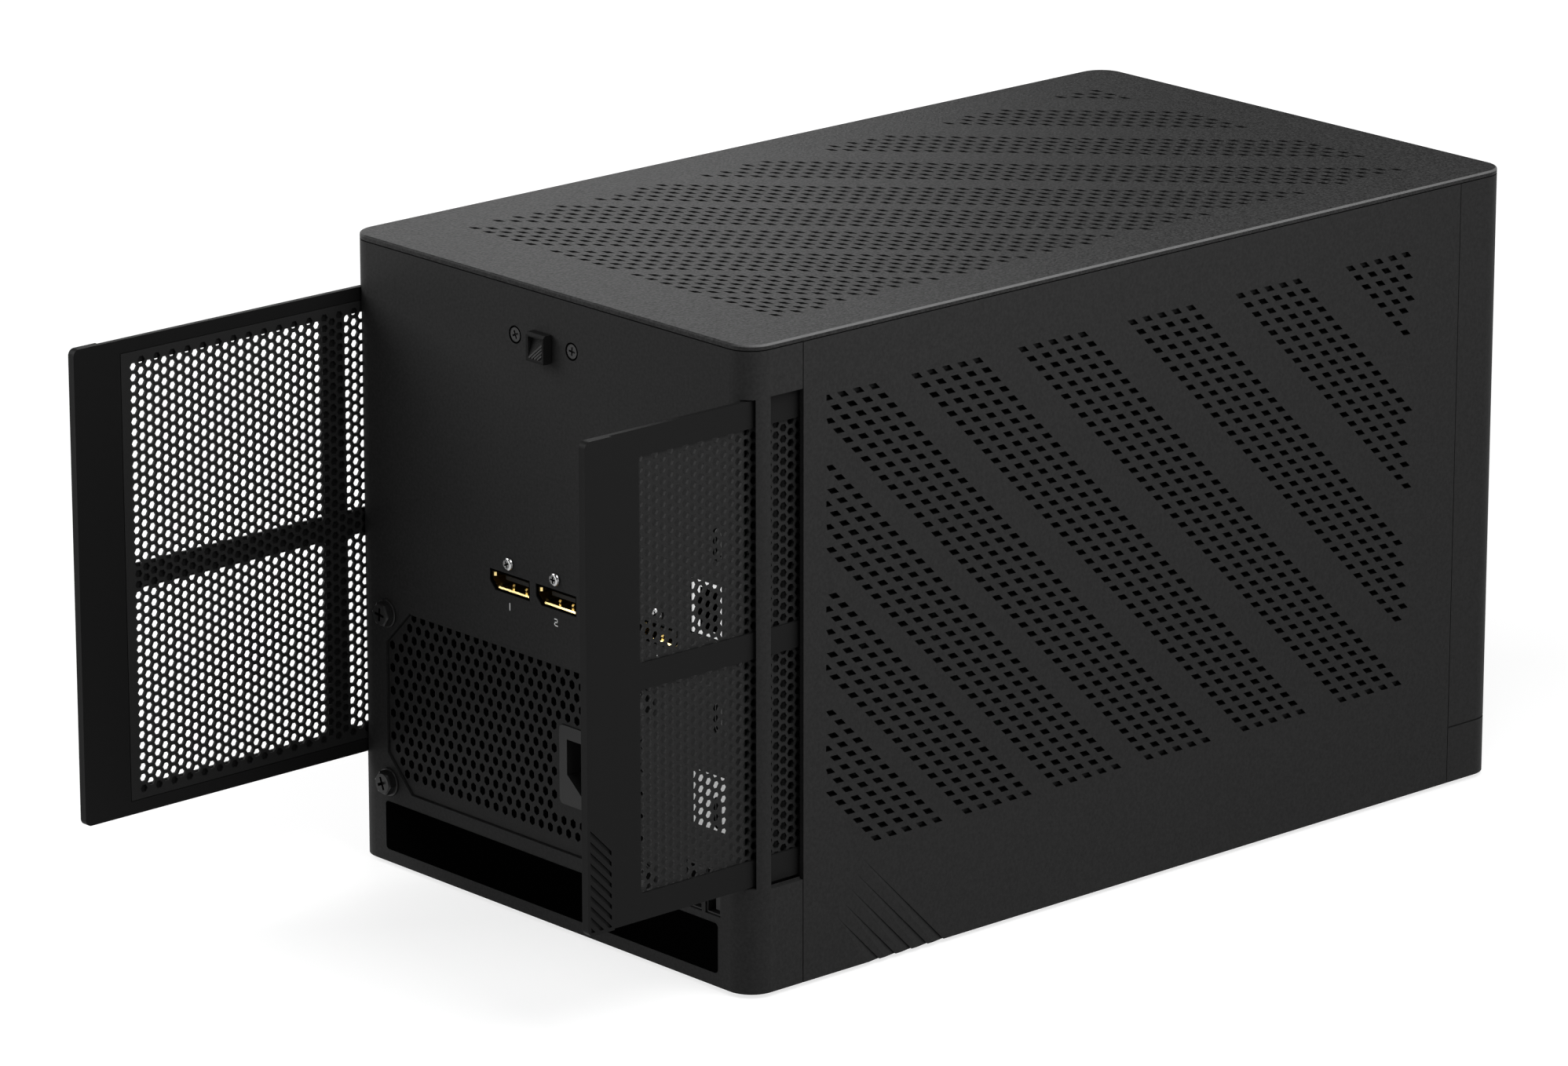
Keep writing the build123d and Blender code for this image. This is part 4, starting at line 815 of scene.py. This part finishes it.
def add_supply_grille():
    """Fine hexagonal plate in the supply's window, sunk a little and cut out round the inlet.

    Its hole walls hold painted shade.
    """
    wall = limits("rear_cover")[0][1] + GRILLE_SINK
    low, high = (v[[0, 2]] for v in limits("power_inlet"))
    cut_out = rounded_outline(low - FLANGE_GAP, high + FLANGE_GAP, FLANGE_CORNER)[0][None]
    holes = grille_holes()
    outline = supply_window(GRILLE_GAP)
    thick = limits("psu_case")[0][1] + CASE_SHEET - wall
    points, faces = pierced_sheet(outline, np.zeros_like(outline), [cut_out, holes], thick)
    shape = facing_rear(points, wall), faces
    recess = last_faces(faces, holes.shape[0] * holes.shape[1])
    piece("supply_grille", shape, "supply", "enclosure", recess=recess)


def add_screws():
    """Screws with cross recesses in the rear wall: supply, video sockets and slider."""
    wall = limits("rear_cover")[0][1]
    low, high = limits("psu_screws")
    hexagon = (CASE_SCREW_FLAT, *CASE_SCREW_HEX, CASE_SCREW_FACE)
    places = [(x, z) for x in (low[0] + CASE_SCREW_SEAT, high[0] - CASE_SCREW_SEAT)
              for z in (low[2] + CASE_SCREW_SEAT, high[2] - CASE_SCREW_SEAT)]
    shape = screw(CASE_SCREW, CASE_CROSS, hexagon)
    add_screw_set("supply_screw_heads", shape, places, wall, "psu_screws", "dark_screw")
    low, high = limits("socket_screws")
    places = [(x, (low[2] + high[2]) / 2) for x in socket_middles()]
    shape = screw(SOCKET_SCREW, SOCKET_CROSS)
    add_screw_set("socket_screw_heads", shape, places, wall, "socket_screws", "bright_screw")
    low, high = limits("slider_screws")
    places = [(x, (low[2] + high[2]) / 2)
              for x in (low[0] + SLIDER_SCREW_SEAT, high[0] - SLIDER_SCREW_SEAT)]
    shape = screw(SLIDER_SCREW, SLIDER_CROSS)
    add_screw_set("slider_screw_heads", shape, places, wall, "slider_screws", "grey_screw")
    # Black rings round the slider screws: painted shade in their countersinks
    inner, outer, sheet = SLIDER_SCREW_SHADE_RING
    rim = ngons([(0, 0)], outer, SCREW_STEPS)[0]
    points, faces = pierced_sheet(rim, rim / outer, [ngons([(0, 0)], inner, SCREW_STEPS)], sheet)
    rings = [(facing_rear(points, wall - sheet, place), faces) for place in places]
    piece("slider_screw_shade_rings", joined(*rings), "label", "enclosure")


def add_screw_set(name, shape, places, wall, node, look):
    """Copies of one screw, each turned by its own angle so that no two recesses line up.

    Each cross recess and shank tip holds painted shade.
    """
    first, step = SCREW_TURNS
    parts = []
    for k, place in enumerate(places):
        c, s = np.cos(first + step * k), np.sin(first + step * k)
        turned = shape[0] @ np.array([(c, s, 0), (-s, c, 0), (0, 0, 1)])
        parts.append((facing_rear(turned, wall, place), shape[1]))
    points, faces = joined(*parts)
    recess = last_faces(faces, CROSS_FACES, len(parts))
    piece(name, (points, faces), look, "enclosure", [node], recess)


def socket_middles():
    """X of the four video sockets."""
    return [np.mean(limits(name), axis=0)[0] for name in SOCKETS]


def wedge(x, y, z, high):
    """Prism along X whose slope faces rearwards and up.

    X is (from, to), and y and z are the slope's lower edge."""
    corner = np.array([(0, 0), (1, 0), (1, 1)]) * high + (y, z)
    return np.column_stack([np.repeat(x, 3), np.tile(corner, (2, 1))]), PRISM_FACES


def socket_mouth(name, grow):
    """Outline of a video socket's mouth, anticlockwise.

    One lower corner is cut off, and both are on the wide socket."""
    low, high = (v[[0, 2]] for v in limits(name))
    (x0, z0), (x1, z1) = low - grow, high + grow
    cut = SOCKET_CORNER
    right = [(x1 - cut, z0), (x1, z0 + cut)] if name == "video_socket_wide" else [(x1, z0)]
    return np.array(right + [(x1, z1), (x0, z1), (x0, z0 + cut), (x0 + cut, z0)])


def add_socket_rim_shade():
    """Black sheet over each video socket's rim: painted shade on the recessed rim."""
    wall = limits("rear_cover")[0][1] + SOCKET_SHADE_SINK
    parts = []
    for name in SOCKETS:
        outline = socket_mouth(name, SOCKET_SHADE_GROWTH)
        mouth = socket_mouth(name, -SOCKET_WALL)
        points, faces = pierced_sheet(outline, np.zeros_like(outline), [mouth[None]], SOCKET_SHADE_SHEET)
        parts.append((facing_rear(points, wall), faces))
    piece("socket_rim_shade", joined(*parts), "label", "enclosure")


def add_socket_lips():
    """Turned lower lip, two springs on posts and a side latch in each video socket's mouth."""
    parts = []
    for name in SOCKETS:
        low, high = limits(name)
        floor = low[2] + SOCKET_WALL
        cut = SOCKET_CORNER, SOCKET_CORNER if name == "video_socket_wide" else SOCKET_WALL
        lip = low[0] + cut[0], high[0] - cut[1]
        parts.append(wedge(lip, low[1] + LIP_SINK, floor, LIP_HIGH))
        for x in SPRING_PLACES:
            x = (low[0] + high[0]) / 2 + x + np.array((-1, 1)) * SPRING_HALF
            y = low[1] + SPRING_DEPTH
            parts.append(wedge(x, y, floor + SPRING_RISE, SPRING_TIP))
            parts.append(brick((x[0], y + SPRING_TIP / 2, floor),
                               (x[1], y + SPRING_TIP, floor + SPRING_RISE)))
        latch = high[2] - np.array(LATCH_DROP)
        points, faces = wedge(latch, low[1] + SPRING_TIP, low[0] + SOCKET_WALL, SPRING_TIP)
        parts.append((points[:, [2, 1, 0]], faces))
    piece("socket_lips", joined(*parts), "gold", "enclosure")


def add_network_lining():
    """Dark tub that lines the network socket's mouth: four walls and a back."""
    low, high = limits("network_socket")
    width, height, depth = LINING_MOUTH
    half = np.array((width, height)) / 2
    middle = (low[[0, 2]] + high[[0, 2]]) / 2 + (LINING_OFFSET, 0)
    outline, normal = rounded_outline(middle - half, middle + half, 0)
    inner = rounded_outline(middle - half + LINING_SHEET, middle + half - LINING_SHEET, 0)[0]
    thick = depth - LINING_SINK - LINING_SHEET
    points, faces = pierced_sheet(outline, normal, [inner[None]], thick)
    walls = facing_rear(points, low[1] + LINING_SINK), faces
    (x0, z0), (x1, z1) = middle - half, middle + half
    back = brick((x0, low[1] + depth - LINING_SHEET, z0), (x1, low[1] + depth, z1))
    piece("network_lining", joined(walls, back), "label", "enclosure")


def add_knob_ribs():
    """Thin ribs at 45 degrees on the ramp of the slider's finger recess, and a left cheek sheet.
    Both are lighter than the knob: painted highlight on the ribs and bounced light on the cheek.

    A place on the ramp is lower edge + across * (1, 0, 0) + along * (unit vector up the ramp). Each
    rib is a bar between two such places, as wide as two offsets square to it, raised along the
    ramp's normal."""
    low, high = limits("release_slider")
    middle = (low[2] + high[2]) / 2 + KNOB_RISE
    edge = np.array((0, low[1], middle - KNOB_TALL / 2 + KNOB_WALL))
    up = np.array((0, KNOB_RECESS, KNOB_TALL - KNOB_WALL - KNOB_LIP))
    up /= np.linalg.norm(up)
    across = np.array((1.0, 0, 0))
    normal = np.cross(across, up)
    start = RIB_FIRST + RIB_PITCH * np.arange(RIB_COUNT)
    run = KNOB_HALF - 2 * RIB_HALF - start
    flat = np.array([(0, 0, -1), (0, 0, 1), (1, 1, 1), (1, 1, -1)], float)
    u = start[:, None] + run[:, None] * flat[:, 0] - RIB_HALF * flat[:, 2]
    v = 2 * RIB_HALF + run[:, None] * flat[:, 1] + RIB_HALF * flat[:, 2]
    parts = []
    for a, b in zip(u, v):
        base = edge + a[:, None] * across + b[:, None] * up
        parts.append((np.vstack([base, base + RIB_HIGH * normal]), BAR_FACES))
    foot = edge - (KNOB_HALF, 0, 0)
    head = foot + (0, 0, KNOB_TALL - KNOB_WALL - KNOB_LIP)
    cheek = np.array([foot, head, head + (0, KNOB_RECESS, 0)])
    parts.append((np.vstack([cheek, cheek + (CHEEK_SHEET, 0, 0)]), PRISM_FACES))
    piece("knob_ribs", joined(*parts), "painted_light_moulding", "slider")


def add_label():
    """Bare dark plate along the foot of the rear wall."""
    outline, normal = rounded_outline(*LABEL, LABEL_CORNER)
    points, faces = pierced_sheet(outline, normal, [], LABEL_SHEET, LABEL_ROUND)
    shape = facing_rear(points, limits("rear_cover")[0][1] - LABEL_SHEET), faces
    piece("label_plate", shape, "label", "enclosure")


def add_digits():
    """Socket numbers under the video sockets, each a few straight strokes."""
    wall = limits("rear_cover")[0][1]
    size = np.array(DIGIT_SIZE)
    bars = []
    for x, digit in zip(socket_middles(), DIGIT_STROKES):
        for a, b in digit:
            low = (x, DIGIT_MIDDLE) + (np.array(a) - DIGIT_CENTRE) * size - DIGIT_STROKE / 2
            high = (x, DIGIT_MIDDLE) + (np.array(b) - DIGIT_CENTRE) * size + DIGIT_STROKE / 2
            bars.append(brick((low[0], wall - PRINT_SHEET, low[1]), (high[0], wall, high[1])))
    piece("socket_numbers", joined(*bars), "print", "enclosure")


def add_patch():
    """Pale printed field round the lowest oval socket."""
    outline, normal = rounded_outline(*PATCH, PATCH_CORNER)
    middle, half = np.array(PATCH_SOCKET), np.array(PATCH_SLOT) / 2
    mouth = rounded_outline(middle - half, middle + half, half[0] - PATCH_SLOT_FLAT)[0]
    points, faces = pierced_sheet(outline, normal, [mouth[None]], PRINT_SHEET)
    shape = facing_rear(points, limits("rear_cover")[0][1] - PRINT_SHEET), faces
    piece("port_patch", shape, "print", "enclosure")


for node, obj in frame["nodes"].items():
    slot_name = next(s["material_slot"] for s in frame["record"]["subparts"] if s["node"] == node)
    obj.data.materials.clear()
    # The USB-C sockets take the darker port metal: painted shade
    obj.data.materials.append(FINISHES["shaded_port" if node == "usb_c_sockets" else slot_name])

add_side_panels()
add_top_cover()
add_filter_frames()
add_filter_meshes()
add_supply_case()
add_supply_grille()
add_screws()
add_socket_rim_shade()
add_socket_lips()
add_network_lining()
add_knob_ribs()
add_label()
add_digits()
add_patch()


# Studio

def add_floor():
    """Wide floor that the camera sees as white.

    It shines less near the body, so that it keeps the body's shadow."""
    mesh = bpy.data.meshes.new("floor")
    r = FLOOR_REACH
    mesh.from_pydata([(-r, -r, 0), (r, -r, 0), (r, r, 0), (-r, r, 0)], [], [[0, 1, 2, 3]])
    floor = bpy.data.objects.new("floor", mesh)
    bpy.context.scene.collection.objects.link(floor)
    material = bpy.data.materials.new("floor_paper")
    material.use_nodes = True
    tree = material.node_tree
    shader = tree.nodes["Principled BSDF"]
    shader.inputs["Base Color"].default_value = (*grey(FLOOR_GREY), 1)
    shader.inputs["Roughness"].default_value = FLOOR_ROUGHNESS
    shader.inputs["Specular IOR Level"].default_value = FLOOR_GLOSS
    tree.links.new(seen_directly(tree), shader.inputs["Emission Strength"])
    distance = tree.nodes.new("ShaderNodeVectorMath")
    distance.operation = "LENGTH"
    tree.links.new(tree.nodes.new("ShaderNodeTexCoord").outputs["Object"], distance.inputs[0])
    fade = tree.nodes.new("ShaderNodeMapRange")
    fade.interpolation_type = "SMOOTHSTEP"
    fade.inputs["From Min"].default_value, fade.inputs["From Max"].default_value = FLOOR_FADE
    fade.inputs["To Min"].default_value = FLOOR_LIFT
    tree.links.new(distance.outputs["Value"], fade.inputs["Value"])
    tree.links.new(fade.outputs["Result"], shader.inputs["Emission Color"])
    mesh.materials.append(material)


def seen_directly(tree):
    """One for rays from the camera, from gloss or through glass, and nothing for other rays."""
    path = tree.nodes.new("ShaderNodeLightPath").outputs
    gloss = math_node(tree, "MAXIMUM", path["Is Glossy Ray"], path["Is Transmission Ray"])
    return math_node(tree, "MAXIMUM", path["Is Camera Ray"], gloss)


def add_lamp(name, place, size, power):
    """Square soft lamp that faces the middle of the body, near its top."""
    lamp = bpy.data.lights.new(name, "AREA")
    lamp.shape = "SQUARE"
    lamp.size = size
    lamp.energy = power
    obj = bpy.data.objects.new(name, lamp)
    obj.location = place
    obj.visible_camera = False
    obj.rotation_euler = (Vector(LAMP_AIM) - Vector(place)).to_track_quat("-Z", "Y").to_euler()
    bpy.context.scene.collection.objects.link(obj)


def add_camera():
    """Camera on a sphere round the body, turned by its angles, then panned in its own plane."""
    a, e, r = np.radians((CAMERA_AZIMUTH, CAMERA_ELEVATION, CAMERA_ROLL))
    back = np.array((np.sin(a) * np.cos(e), -np.cos(a) * np.cos(e), np.sin(e)))
    level = np.array((np.cos(a), np.sin(a), 0.0))
    rise = np.cross(back, level)
    right = np.cos(r) * level + np.sin(r) * rise
    up = np.cos(r) * rise - np.sin(r) * level
    place = np.array((0, 0, CAMERA_AIM_HEIGHT)) + CAMERA_DISTANCE * back
    place = place + CAMERA_PAN[0] * right + CAMERA_PAN[1] * up
    turn = Matrix(np.column_stack([right, up, back]).tolist()).to_4x4()
    data = bpy.data.cameras.new("camera")
    data.lens = CAMERA_LENS
    data.sensor_width = CAMERA_SENSOR
    camera = bpy.data.objects.new("camera", data)
    camera.matrix_world = Matrix.Translation(place) @ turn
    bpy.context.scene.collection.objects.link(camera)
    bpy.context.scene.camera = camera


def add_world():
    """Even sky, white where the camera sees it."""
    world = bpy.data.worlds.new("studio")
    world.use_nodes = True
    tree = world.node_tree
    seen = tree.nodes.new("ShaderNodeLightPath").outputs["Is Camera Ray"]
    sky = tree.nodes["Background"].inputs
    sky["Color"].default_value = (1, 1, 1, 1)
    tree.links.new(math_node(tree, "MAXIMUM", seen, WORLD_LEVEL), sky["Strength"])
    bpy.context.scene.world = world


add_floor()
add_world()
for lamp in LAMPS:
    add_lamp(*lamp)
add_camera()
bpy.context.scene.view_settings.view_transform = "Standard"
